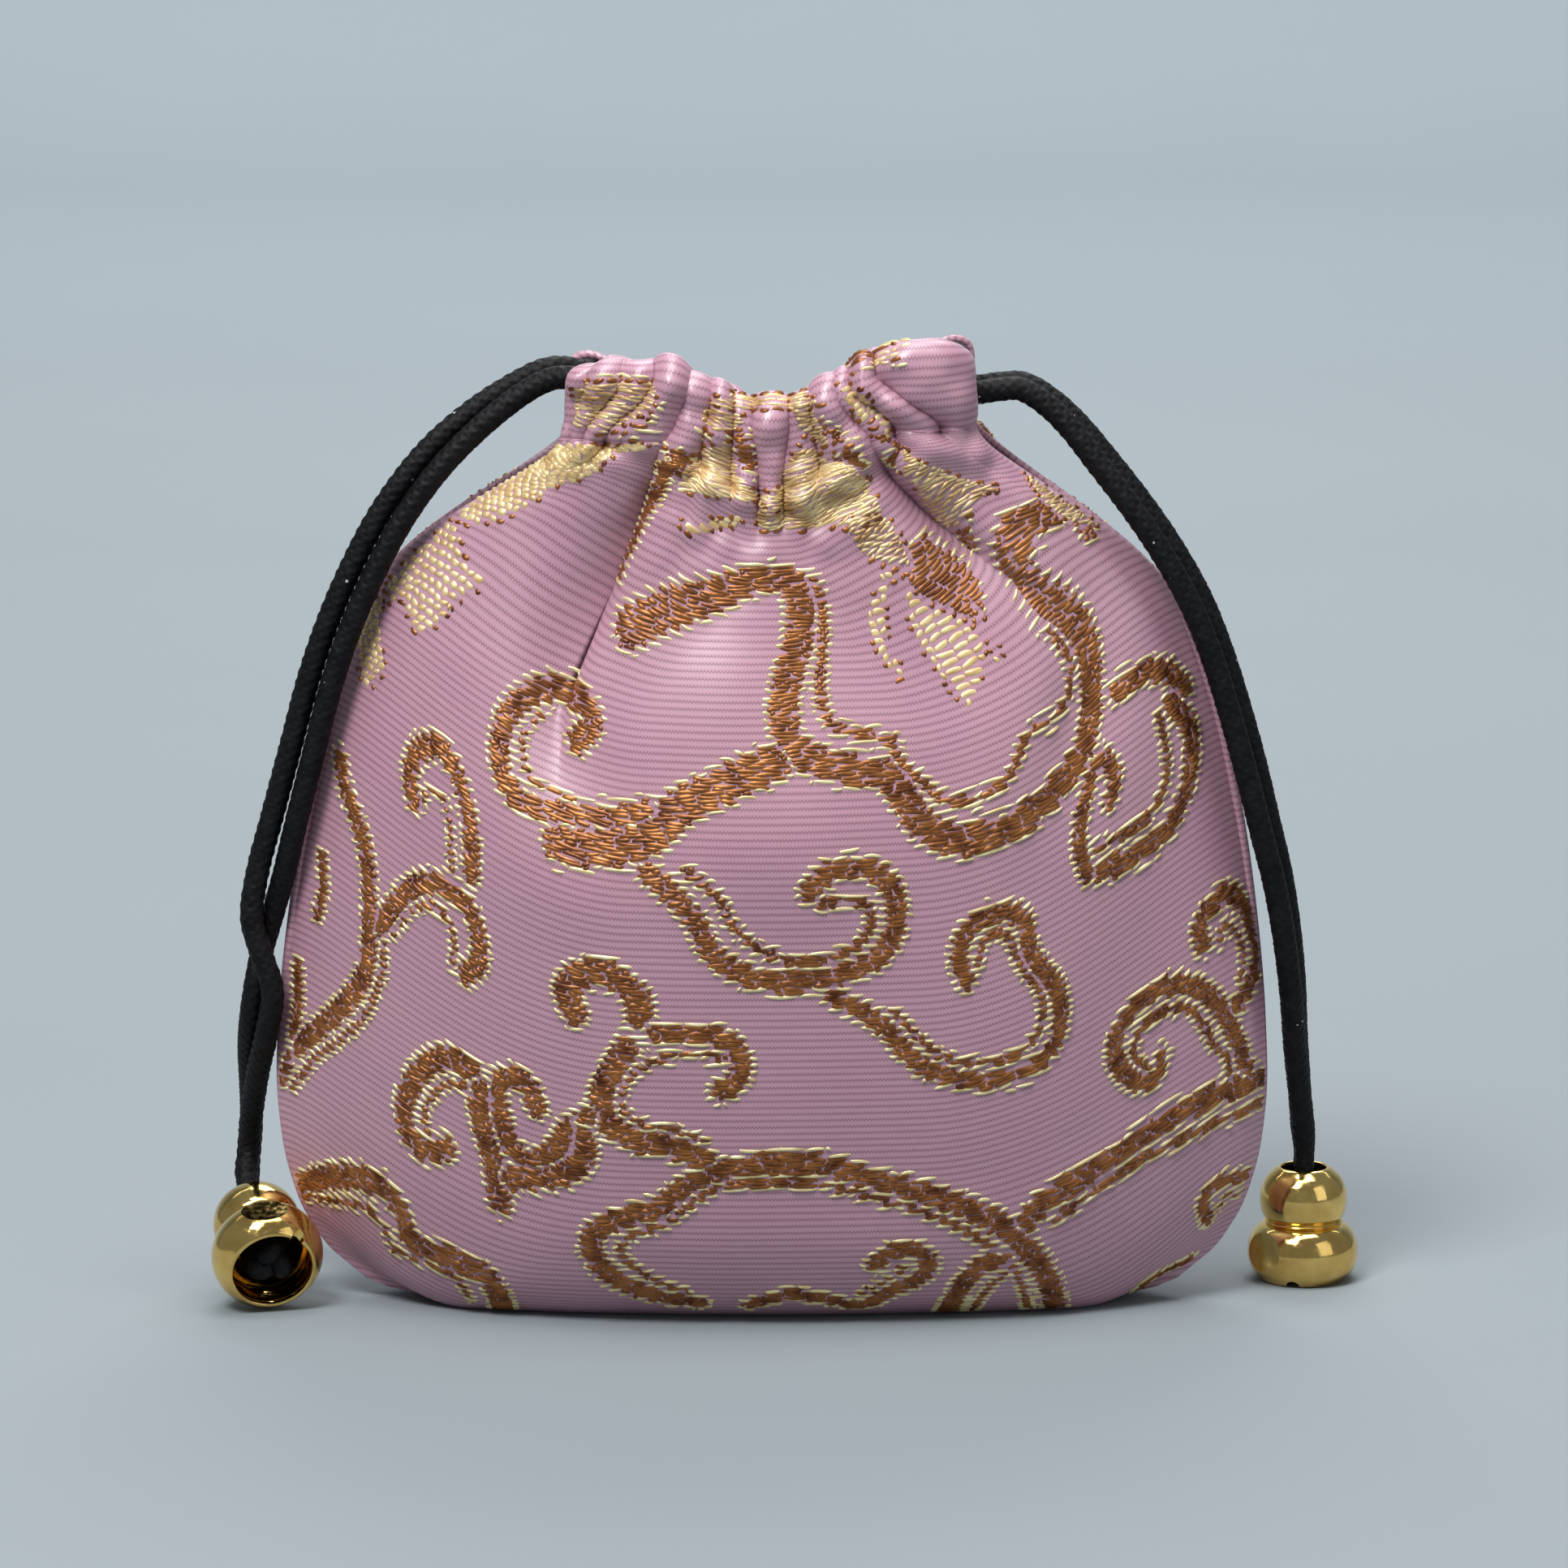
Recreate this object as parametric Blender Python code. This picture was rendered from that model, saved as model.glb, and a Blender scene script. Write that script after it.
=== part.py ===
"""Kinchaku: a two-panel brocade pouch with two drawstrings and gourd-shaped beads."""
import math

import bmesh
import bpy
import numpy as np
from mathutils import Matrix, Vector

MM = 0.001

# Cloth
CLOTH_THICKNESS = 0.8 * MM
HALF_CLOTH = CLOTH_THICKNESS / 2
SEAM_GAP = 0.3 * MM
BODY_HEIGHT = 108.0 * MM
SLIT_START = 88.0 * MM
EDGE_REACH = 0.45 * MM

# Side seam seen from the front: flat height, distance from the middle, height
EDGE_LEFT_MM = [
    (0, 38.0, 0.4), (0.9, 42.2, 1.5), (2.7, 45.8, 4.0), (7.5, 49.8, 8.8), (13, 51.9, 14.2), (20, 53.0, 21.2),
    (30, 52.9, 31.0), (42, 51.6, 43.0), (54, 49.6, 54.8), (66, 46.9, 66.5), (76, 43.6, 75.9),
    (84, 40.1, 83.2), (90, 36.8, 87.8), (96, 32.7, 91.2), (102, 27.4, 93.4), (108, 21.4, 94.6),
]
EDGE_RIGHT_MM = [
    (0, 38.0, 0.4), (0.9, 42.2, 1.5), (2.7, 45.8, 4.0), (7.5, 49.8, 8.8), (13, 51.9, 14.2), (20, 53.0, 21.2),
    (30, 52.9, 31.0), (42, 51.8, 43.0), (54, 50.0, 54.8), (66, 47.2, 66.5), (76, 43.5, 75.9),
    (84, 39.6, 83.2), (90, 36.3, 88.1), (96, 32.4, 92.1), (102, 27.5, 94.9), (108, 21.4, 96.4),
]
# Middle of a panel seen from the side: flat height, depth, height
CENTRE_MM = [
    (0, 0.55, 0.4), (3.8, 4.3, 0.4), (7.5, 8.0, 0.4), (13, 12.4, 2.8), (20, 16.0, 8.2),
    (30, 18.6, 17.8), (42, 19.9, 29.0), (54, 20.0, 40.5), (66, 19.0, 52.5), (76, 17.2, 62.5),
    (84, 15.3, 70.3), (90, 13.7, 76.1), (96, 12.1, 81.9), (102, 10.4, 86.8), (108, 9.05, 90.6),
]
# Distance of the seam line from the middle plane: flat height, depth
EDGE_DEPTH_MM = [(0, 0.55), (88, 0.55), (92, 0.9), (98, 2.0), (104, 3.1), (108, 3.6)]
LENS_ANGLE = math.radians(65)
BACK_RISE = 1.0 * MM
BACK_RISE_START = 60.0 * MM
BACK_RISE_RUN = 48.0 * MM
# Flat share of a row at the bottom fold and above it, and how the shoulders narrow it
FLAT_SHARE_LOW = 0.62
FLAT_SHARE_HIGH = 0.25
FLAT_SHARE_RUN = 30.0 * MM
SHOULDER_START = 78.0 * MM
SHOULDER_RUN = 30.0 * MM
SHOULDER_NARROWING = 0.35
NECK_BLEND_START = 76.0 * MM
NECK_BLEND_RUN = 32.0 * MM
LYING_HEIGHT = 0.6 * MM

# Neck: stadium-shaped ring that the drawstrings follow
NECK_HALF_DEPTH = 6.6 * MM
NECK_END_RADIUS = 4.6 * MM
NECK_END_ANGLE = math.radians(70)
NECK_HALF_WIDTH = 19.4 * MM

# Gathers: valley places across the neck and lower down, and how far down each one runs
FRONT_VALLEYS_NECK = [-1, -0.72, -0.40, -0.24, -0.09, 0.07, 0.28, 0.52, 0.80, 1]
FRONT_VALLEYS_LOW = [-1, -0.73, -0.42, -0.25, -0.07, 0.18, 0.49, 0.66, 0.85, 1]
FRONT_REACH_MM = [26, 20, 46, 14, 20, 16, 40, 12, 22, 26]
FRONT_EXTRA_MM = [0, 0, 2.2, 0, 0.4, 0, 2.0, 0, 0.3, 0]
BACK_VALLEYS_NECK = [-1, -0.78, -0.55, -0.33, -0.12, 0.10, 0.32, 0.55, 0.78, 1]
BACK_VALLEYS_LOW = [-1, -0.79, -0.58, -0.36, -0.13, 0.12, 0.36, 0.59, 0.79, 1]
BACK_REACH_MM = [26, 16, 30, 18, 38, 15, 34, 20, 16, 26]
BACK_EXTRA_MM = [0, 0, 0.8, 0, 1.6, 0, 1.2, 0, 0, 0]
VALLEY_SPREAD_LENGTH = 38.0 * MM
GATHER_AT_STITCH = 1.9 * MM
GATHER_IN_CASING = 2.4 * MM
TOP_BUMP = 1.0 * MM
MIDDLE_RISE = 0.5 * MM
MIDDLE_SPREAD = 0.7
ARCH_STEPS = [0.0, 0.13, 0.36, 0.64, 0.87]

# Body rows: flat height
BODY_ROWS_MM = [0, 0.9, 2.7, 7.5, 13, 20, 30, 42, 54, 66, 76, 84, 90, 96, 102, 108]
# Casing section above the stitch line: half depth, height, share of the gathers, share of the bumps
CASING_SECTION_MM = [
    (1.45, 1.05, 1.0, 0.0), (2.05, 2.5, 1.0, 0.0), (2.1, 4.6, 1.0, 0.0), (2.05, 6.6, 0.9, 0.0),
    (1.5, 7.9, 0.7, 0.6), (0.0, 8.5, 0.4, 1.0), (-1.5, 7.9, 0.1, 0.6), (-2.05, 6.6, 0.0, 0.0),
    (-2.05, 4.0, 0.0, 0.0), (-1.75, 1.55, 0.0, 0.0), (-0.75, 0.2, 0.0, 0.0),
]
STITCH_HALF_DEPTH = 0.55 * MM

# Cords
CORD_RADIUS = 1.25 * MM
LOWER_LANE = 2.95 * MM
UPPER_LANE = 6.25 * MM
CORD_BEVEL_RESOLUTION = 2
RING_SHARES = [-1, -0.93, -0.86, -0.79, -0.70, -0.4, 0, 0.4, 0.70, 0.79, 0.86, 0.93, 1]
RING_END_BULGE = 0.9 * MM
LEG_SPACING = 1.4 * MM
EXIT_SPACINGS_MM = [2.7, 2.2, 1.75, 1.5]
ENTRY_SPACING = 1.3 * MM
BEAD_SPACING = 1.12 * MM
ENTRY_RUN = 2.0 * MM
SQUEEZE = 0.84
SQUEEZED_RUN = 8.4 * MM
SQUEEZE_RAMP = 3.0 * MM
KNOT_CLEARANCE = 0.3 * MM
MAX_TURN = math.radians(19)
MIN_RUN = 1.0 * MM
MAX_RUN = 7.5 * MM
DENSE_STEPS = 12

# Beads: outer section from the open end to the cord hole, radius and height
BEAD_OUTER_MM = [
    (4.45, 0.0), (4.95, 0.35), (5.55, 1.1), (5.95, 2.1), (6.05, 3.1), (5.93, 4.1), (5.55, 5.1),
    (4.85, 6.0), (4.10, 6.45), (4.00, 6.65), (4.10, 6.85), (4.50, 7.5), (4.75, 8.8), (4.70, 9.9),
    (4.35, 10.9), (3.70, 11.8), (2.95, 12.4), (2.45, 12.5),
]
BEAD_INNER_MM = [
    (2.45, 11.7), (3.10, 11.2), (3.60, 10.2), (3.75, 9.2), (3.60, 8.2), (3.05, 7.1), (3.05, 6.2),
    (4.25, 5.2), (4.85, 4.1), (4.95, 3.1), (4.80, 1.8), (4.30, 0.6),
]
BEAD_SEGMENTS = 28
BEAD_EQUATOR = 3.1 * MM
BEAD_RADIUS = 6.05 * MM
DISH_RADIUS = 2.6 * MM
DISH_SPHERE = 20.0 * MM
NOTCH_RADIUS = 0.75 * MM
NOTCH_ANGLE = math.radians(38)
DISH_LIFT = math.radians(7)
DISH_SEGMENTS = 32
DISH_RINGS = 7
DISH_TOOL_SPREAD = 1.25
DISH_TOOL_HEIGHT = 3.0 * MM
DISH_TOOL_TIP = 0.12 * MM
NOTCH_REACH = 3.0 * MM
NOTCH_PLACE = 4.9 * MM
NOTCH_HEIGHT = 0.05 * MM
NOTCH_SEGMENTS = 16

KNOT_SECTION_MM = [(0.9, 0.0), (2.5, 0.6), (3.2, 1.7), (2.8, 2.5), (3.1, 3.4), (2.3, 4.4), (0.9, 4.9)]
KNOT_SEGMENTS = 14
KNOT_HEIGHT_IN_BEAD = 0.35 * MM
KNOT_LENGTH = 4.9 * MM

RIGHT_BEAD_PLACE = Vector((58.0 * MM, 7.7 * MM, 0.05 * MM))
RIGHT_DISH_AZIMUTH = math.radians(54)
LEFT_BEAD_CENTRE = Vector((-54.3 * MM, -6.2 * MM, 6.12 * MM))
LEFT_BEAD_AXIS = Vector((-0.24, 0.908, 0.343)).normalized()
LEFT_DISH_DIRECTION = Vector((0.0, -0.348, 0.934))

# Free legs of the drawstrings: place of the pair (x, y, z) and the turn in degrees of the
# strand from the back casing round the pair, where 0 is picture right and 90 is the front
LEFT_LEGS_MM = [
    (-20.2, 0.0, 100.8, 270), (-21.9, 0.0, 101.0, 265), (-23.9, -0.1, 100.8, 258),
    (-26.8, -0.5, 99.4, 250), (-30.9, -1.4, 96.6, 235), (-35.2, -2.5, 92.8, 222),
    (-38.8, -3.2, 88.4, 215), (-41.9, -3.5, 83.4, 210), (-45.3, -3.6, 76.2, 208),
    (-47.9, -3.5, 69.0, 206), (-50.1, -3.2, 60.9, 204), (-52.2, -2.7, 53.0, 198),
    (-53.7, -2.1, 47.2, 180), (-54.7, -1.6, 42.5, 140), (-54.8, -1.4, 38.5, 90),
    (-54.6, -2.0, 34.5, 45), (-55.3, -0.9, 30.0, 45), (-56.0, 1.9, 26.0, 60),
    (-56.4, 4.6, 22.4, 75), (-56.7, 6.8, 18.9, 86), (-56.9, 8.0, 15.9, 90), (-57.1, 7.9, 13.6, 90),
    (-57.2, 6.7, 11.7, 90),
]
RIGHT_LEGS_MM = [
    (20.2, 0.0, 99.3, 270), (21.9, 0.0, 99.2, 270), (23.9, -0.2, 99.5, 272), (26.6, -0.5, 99.6, 275),
    (29.4, -1.0, 98.0, 280), (32.1, -1.7, 95.5, 285), (35.0, -2.5, 92.0, 290), (38.7, -3.3, 87.3, 292),
    (42.0, -3.7, 82.5, 294), (45.0, -3.9, 77.2, 295), (47.3, -3.9, 71.6, 295), (49.3, -3.8, 65.4, 295),
    (51.1, -3.7, 59.0, 295), (52.7, -3.4, 52.6, 293), (54.2, -2.7, 46.6, 290), (55.3, -1.8, 40.4, 286),
    (56.1, 0.1, 34.0, 282), (56.6, 2.5, 28.0, 278), (57.2, 4.9, 22.6, 274), (57.7, 6.8, 18.0, 270),
]


def smooth_step(value):
    """Return the smooth 0 to 1 ramp of a value that is clamped to that range."""
    value = np.clip(value, 0.0, 1.0)
    return value * value * (3 - 2 * value)


def curve_value(keys, values, at):
    """Read a smooth curve through (key, value) pairs at one place."""
    keys = np.asarray(keys, dtype=float)
    values = np.asarray(values, dtype=float)
    slopes = np.gradient(values, keys)
    index = int(np.clip(np.searchsorted(keys, at) - 1, 0, len(keys) - 2))
    span = keys[index + 1] - keys[index]
    part = (at - keys[index]) / span
    h00 = (1 + 2 * part) * (1 - part) ** 2
    h10 = part * (1 - part) ** 2
    h01 = part * part * (3 - 2 * part)
    h11 = part * part * (part - 1)
    return (h00 * values[index] + h10 * span * slopes[index]
            + h01 * values[index + 1] + h11 * span * slopes[index + 1])


def column_value(rows_mm, column, height):
    """Read one column of a named point list, in metres, at a flat height in metres."""
    keys = [row[0] for row in rows_mm]
    values = [row[column] for row in rows_mm]
    return curve_value(keys, values, height / MM) * MM


def neck_ring(share):
    """Return a point of the neck ring and its outward direction, for the front half."""
    straight = NECK_HALF_WIDTH - NECK_END_RADIUS
    total = straight + NECK_END_RADIUS * NECK_END_ANGLE
    run = abs(share) * total
    sign = 1.0 if share >= 0 else -1.0
    if run <= straight:
        return np.array((sign * run, -NECK_HALF_DEPTH)), np.array((0.0, -1.0))
    angle = (run - straight) / NECK_END_RADIUS
    x = straight + NECK_END_RADIUS * math.sin(angle)
    y = -(NECK_HALF_DEPTH - NECK_END_RADIUS * (1 - math.cos(angle)))
    return np.array((sign * x, y)), np.array((sign * math.sin(angle), -math.cos(angle)))


def lens_row(share, half_width, depth, edge_depth):
    """Return a point of a body row and its outward direction, for the front half."""
    angle = LENS_ANGLE * share
    bulge = (math.cos(angle) - math.cos(LENS_ANGLE)) / (1 - math.cos(LENS_ANGLE))
    x = half_width * math.sin(angle) / math.sin(LENS_ANGLE)
    y = -(edge_depth + (depth - edge_depth) * bulge)
    slope_x = half_width * math.cos(angle) / math.sin(LENS_ANGLE)
    slope_y = (depth - edge_depth) * math.sin(angle) / (1 - math.cos(LENS_ANGLE))
    length = math.hypot(slope_x, slope_y)
    return np.array((x, y)), np.array((slope_y / length, -slope_x / length))


class Gathers:
    """Valleys that the drawstring pulls into a panel."""

    def __init__(self, neck, low, reach_mm, extra_mm):
        self.neck = neck
        self.low = low
        self.reach = [value * MM for value in reach_mm]
        self.extra = [value * MM for value in extra_mm]

    def places(self, height):
        """Return the valley places across a row at a flat height."""
        part = smooth_step((BODY_HEIGHT - height) / VALLEY_SPREAD_LENGTH)
        return [a + (b - a) * part for a, b in zip(self.neck, self.low)]

    def columns(self, height):
        """Return (share, arch index, place in the arch) of each column of a row."""
        places = self.places(height)
        result = []
        for arch, (start, end) in enumerate(zip(places, places[1:])):
            result += [(start + (end - start) * step, arch, step) for step in ARCH_STEPS]
        result.append((places[-1], len(places) - 2, 1.0))
        return result

    def valley(self, arch, step, height):
        """Return how deep the cloth lies below the crest line, in metres."""
        depths = []
        for index in (arch, arch + 1):
            fall = (BODY_HEIGHT - height) / self.reach[index]
            fade = 1 - smooth_step(fall)
            depths.append(fade * (GATHER_AT_STITCH + self.extra[index] * min(1.0, 4 * fall)))
        return depths[0] * (1 - step) ** 3 + depths[1] * step ** 3


def row_height(share, height, back):
    """Return the height above the floor of a place on a panel."""
    left = column_value(EDGE_LEFT_MM, 2, height)
    right = column_value(EDGE_RIGHT_MM, 2, height)
    centre = column_value(CENTRE_MM, 2, height)
    if back:
        centre += BACK_RISE * float(smooth_step((height - BACK_RISE_START) / BACK_RISE_RUN))
    rise = float(smooth_step((height - SHOULDER_START) / SHOULDER_RUN))
    above_fold = float(smooth_step(height / FLAT_SHARE_RUN))
    inner = (FLAT_SHARE_LOW + (FLAT_SHARE_HIGH - FLAT_SHARE_LOW) * above_fold) * (1 - rise)
    outer = 1.0 - SHOULDER_NARROWING * rise
    middle = 1 - float(smooth_step((abs(share) - inner) / (outer - inner)))
    edge = left * (1 - share) / 2 + right * (1 + share) / 2
    return edge + middle * (centre - (left + right) / 2)


def body_point(share, arch, step, height, gathers, back):
    """Return a point of the middle of the cloth, for the front half before mirroring."""
    side = EDGE_LEFT_MM if share < 0 else EDGE_RIGHT_MM
    half_width = column_value(side, 1, height)
    depth = column_value(CENTRE_MM, 1, height)
    edge_depth = column_value(EDGE_DEPTH_MM, 1, height)
    lens, lens_out = lens_row(share, half_width, depth, edge_depth)
    ring, ring_out = neck_ring(share)
    ring = ring + ring_out * (STITCH_HALF_DEPTH + GATHER_AT_STITCH)
    blend = float(smooth_step((height - NECK_BLEND_START) / NECK_BLEND_RUN))
    point = lens * (1 - blend) + ring * blend
    outward = lens_out * (1 - blend) + ring_out * blend
    outward = outward / np.linalg.norm(outward)
    point = point - outward * gathers.valley(arch, step, height)
    return np.array((point[0], point[1], row_height(share, height, back)))


def casing_point(share, arch, step, section, gathers, back):
    """Return a point of the folded hem above the stitch line, for the front half."""
    depth_mm, height_mm, gather, bump = section
    ring, ring_out = neck_ring(share)
    arch_shape = 1 - (1 - step) ** 3 - step ** 3
    outward = depth_mm * MM + gather * GATHER_IN_CASING * arch_shape
    point = ring + ring_out * outward
    base = row_height(share, BODY_HEIGHT, back)
    middle = 1 - float(smooth_step(abs(share) / MIDDLE_SPREAD))
    lift = bump * (TOP_BUMP * arch_shape + MIDDLE_RISE * middle)
    return np.array((point[0], point[1], base + height_mm * MM + lift))


def panel_grid(gathers, back):
    """Return the middle surface of one panel as rows of points."""
    rows = []
    for height_mm in BODY_ROWS_MM:
        height = height_mm * MM
        rows.append([body_point(*column, height, gathers, back)
                     for column in gathers.columns(height)])
    for section in CASING_SECTION_MM:
        rows.append([casing_point(*column, section, gathers, back)
                     for column in gathers.columns(BODY_HEIGHT)])
    return np.array(rows)


def cloth_sides(grid):
    """Return the outer and inner faces of the cloth around its middle surface."""
    across = np.gradient(grid, axis=1)
    up = np.gradient(grid, axis=0)
    normal = np.cross(across, up)
    normal /= np.linalg.norm(normal, axis=2, keepdims=True)
    outer = grid + normal * HALF_CLOTH
    inner = grid - normal * HALF_CLOTH
    on_floor = grid[:, :, 2] < LYING_HEIGHT
    outer[on_floor, 2] = 0.0
    inner[on_floor, 2] = CLOTH_THICKNESS
    outer[:, :, 2] = np.maximum(outer[:, :, 2], 0.0)
    seam_rows = [index for index, value in enumerate(BODY_ROWS_MM) if value * MM <= SLIT_START]
    for column, sign in ((0, -1.0), (-1, 1.0)):
        tangent = np.gradient(grid[:, column], axis=0)
        for row in seam_rows:
            flat = np.array((tangent[row, 2], 0.0, -tangent[row, 0]))
            flat = sign * flat / np.linalg.norm(flat)
            outer[row, column] = grid[row, column] + flat * EDGE_REACH
            inner[row, column] = grid[row, column] - flat * EDGE_REACH
            outer[row, column, 1] = -SEAM_GAP / 2
            inner[row, column, 1] = -SEAM_GAP / 2
    outer[0, :, 1] = -SEAM_GAP / 2
    inner[0, :, 1] = -SEAM_GAP / 2
    outer[0, :, 2] = 0.0
    inner[0, :, 2] = CLOTH_THICKNESS
    outer[:, :, 1] = np.minimum(outer[:, :, 1], -SEAM_GAP / 2)
    inner[:, :, 1] = np.minimum(inner[:, :, 1], -SEAM_GAP / 2)
    return outer, inner


def add_mesh(name, vertices, faces, material, smooth=True):
    """Add one mesh object and return it."""
    mesh = bpy.data.meshes.new(name)
    mesh.from_pydata([tuple(vertex) for vertex in vertices], [], faces)
    work = bmesh.new()
    work.from_mesh(mesh)
    bmesh.ops.recalc_face_normals(work, faces=work.faces)
    work.to_mesh(mesh)
    work.free()
    for polygon in mesh.polygons:
        polygon.use_smooth = smooth
    mesh.materials.append(material)
    result = bpy.data.objects.new(name, mesh)
    bpy.context.scene.collection.objects.link(result)
    return result


def add_panel(name, gathers, back, material):
    """Build one cloth panel with its folded casing."""
    outer, inner = cloth_sides(panel_grid(gathers, back))
    if back:
        outer[:, :, 1] *= -1
        inner[:, :, 1] *= -1
    rows, columns = outer.shape[:2]
    vertices = np.concatenate((outer.reshape(-1, 3), inner.reshape(-1, 3)))
    shift = rows * columns
    faces = []
    for row in range(rows - 1):
        for column in range(columns - 1):
            a = row * columns + column
            b = a + columns
            faces.append((a, a + 1, b + 1, b))
            faces.append((shift + b, shift + b + 1, shift + a + 1, shift + a))
        for column in (0, columns - 1):
            a = row * columns + column
            b = a + columns
            faces.append((a, b, shift + b, shift + a))
    for row in (0, rows - 1):
        for column in range(columns - 1):
            a = row * columns + column
            faces.append((a, a + 1, shift + a + 1, shift + a))
    return add_mesh(name, vertices, faces, material)


def ring_cord(lane, back):
    """Return the run of a cord inside one casing, from the left end to the right end."""
    points = []
    for share in RING_SHARES:
        ring = neck_ring(share)[0]
        height = row_height(share, BODY_HEIGHT, back) + lane
        points.append(Vector((ring[0], -ring[1] if back else ring[1], height)))
    return points


def smooth_route(points):
    """Return close places along a smooth curve through the points."""
    result = []
    count = len(points)
    for index in range(count - 1):
        before = points[max(index - 1, 0)]
        start = points[index]
        end = points[index + 1]
        after = points[min(index + 2, count - 1)]
        for step in range(DENSE_STEPS):
            part = step / DENSE_STEPS
            result.append(0.5 * (2 * start + (end - before) * part
                                 + (2 * before - 5 * start + 4 * end - after) * part ** 2
                                 + (3 * start - before - 3 * end + after) * part ** 3))
    result.append(points[-1].copy())
    return result


def route_places(points):
    """Return the places of the cord's points: one after each small turn or long run."""
    dense = smooth_route(points)
    places = [dense[0]]
    turned = 0.0
    run = 0.0
    for before, here, after in zip(dense, dense[1:], dense[2:]):
        run += (here - before).length
        turned += (here - before).angle(after - here)
        if run >= MIN_RUN and (turned >= MAX_TURN or run >= MAX_RUN):
            places.append(here)
            turned = 0.0
            run = 0.0
    if (dense[-1] - places[-1]).length < MIN_RUN:
        places.pop()
    places.append(dense[-1])
    return places


def squeezed_radii(places):
    """Return the radius share at each place: the bead hole squeezes both ends of a cord."""
    runs = [0.0]
    for before, here in zip(places, places[1:]):
        runs.append(runs[-1] + (here - before).length)
    radii = []
    for run in runs:
        from_end = min(run, runs[-1] - run)
        radii.append(SQUEEZE + (1 - SQUEEZE) * float(smooth_step((from_end - SQUEEZED_RUN) / SQUEEZE_RAMP)))
    return radii


def add_cord(name, route, material):
    """Build one round cord along a route."""
    places = route_places(route)
    curve = bpy.data.curves.new(name, "CURVE")
    curve.dimensions = "3D"
    curve.bevel_depth = CORD_RADIUS
    curve.bevel_resolution = CORD_BEVEL_RESOLUTION
    curve.use_fill_caps = True
    spline = curve.splines.new("POLY")
    spline.points.add(len(places) - 1)
    for point, place, radius in zip(spline.points, places, squeezed_radii(places)):
        point.co = (*place, 1.0)
        point.radius = radius
    spline.use_smooth = True
    curve.materials.append(material)
    result = bpy.data.objects.new(name, curve)
    bpy.context.scene.collection.objects.link(result)
    return result


def leg_pair(stations_mm, frame, across):
    """Return the two strands of a pair of legs, from the slit to the knot in the bead."""
    top = BEAD_OUTER_MM[-1][1] * MM
    end = KNOT_HEIGHT_IN_BEAD + KNOT_LENGTH + KNOT_CLEARANCE
    heights = (top + ENTRY_RUN, top + ENTRY_RUN / 3, top - ENTRY_RUN / 3, (top + end) / 2, end)
    centres = [Vector(station[:3]) * MM for station in stations_mm]
    centres += [frame @ Vector((0, 0, height)) for height in heights]
    from_back = []
    from_front = []
    for index, centre in enumerate(centres):
        if index < len(stations_mm):
            ahead = centres[index + 1] - centres[max(index - 1, 0)]
            side = Vector((-ahead.z, 0.0, ahead.x)).normalized()
            front = ahead.normalized().cross(side)
            angle = math.radians(stations_mm[index][3])
            spacing = EXIT_SPACINGS_MM[index] * MM if index < len(EXIT_SPACINGS_MM) else LEG_SPACING
            offset = (side * math.cos(angle) + front * math.sin(angle)) * spacing
        else:
            spacing = ENTRY_SPACING if index == len(stations_mm) else BEAD_SPACING
            offset = frame.to_3x3() @ across * spacing
        from_back.append(centre + offset)
        from_front.append(centre - offset)
    return from_front, from_back


def drawstring_route(legs, lane, near_sign):
    """Join two legs and the run through both casings into one route."""
    front = ring_cord(lane, False)
    back = ring_cord(lane, True)
    if near_sign > 0:
        front = front[::-1]
        back = back[::-1]
    far_x = front[-1].x - near_sign * RING_END_BULGE
    far_turn = Vector((far_x, 0.0, (front[-1].z + back[-1].z) / 2))
    from_front, from_back = legs
    return from_front[::-1] + front + [far_turn] + back[::-1] + from_back


def lathe(section, segments):
    """Turn a section of (radius, height) points round the upright axis."""
    vertices = []
    for radius, height in section:
        for index in range(segments):
            angle = 2 * math.pi * index / segments
            vertices.append((radius * math.cos(angle), radius * math.sin(angle), height))
    faces = []
    rings = len(section)
    for ring in range(rings - 1):
        for index in range(segments):
            following = (index + 1) % segments
            a = ring * segments
            b = a + segments
            faces.append((a + index, a + following, b + following, b + index))
    return vertices, faces


def add_bead(name, frame, material):
    """Build one hollow gourd bead with its dish and rim notch."""
    section = [(r * MM, z * MM) for r, z in BEAD_OUTER_MM + BEAD_INNER_MM]
    vertices, faces = lathe(section, BEAD_SEGMENTS)
    last = (len(section) - 1) * BEAD_SEGMENTS
    for index in range(BEAD_SEGMENTS):
        following = (index + 1) % BEAD_SEGMENTS
        faces.append((last + index, last + following, following, index))
    bead = add_mesh(name, vertices, faces, material)
    for cutter in (dish_cutter(name), notch_cutter(name)):
        cut = bead.modifiers.new(cutter.name, "BOOLEAN")
        cut.operation = "DIFFERENCE"
        cut.solver = "EXACT"
        cut.object = cutter
        cutter.matrix_world = frame
    bead.matrix_world = frame
    return bead


def hide_cutter(cutter):
    """Keep a cutting body out of the picture."""
    cutter.hide_render = True
    cutter.display_type = "WIRE"
    return cutter


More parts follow.
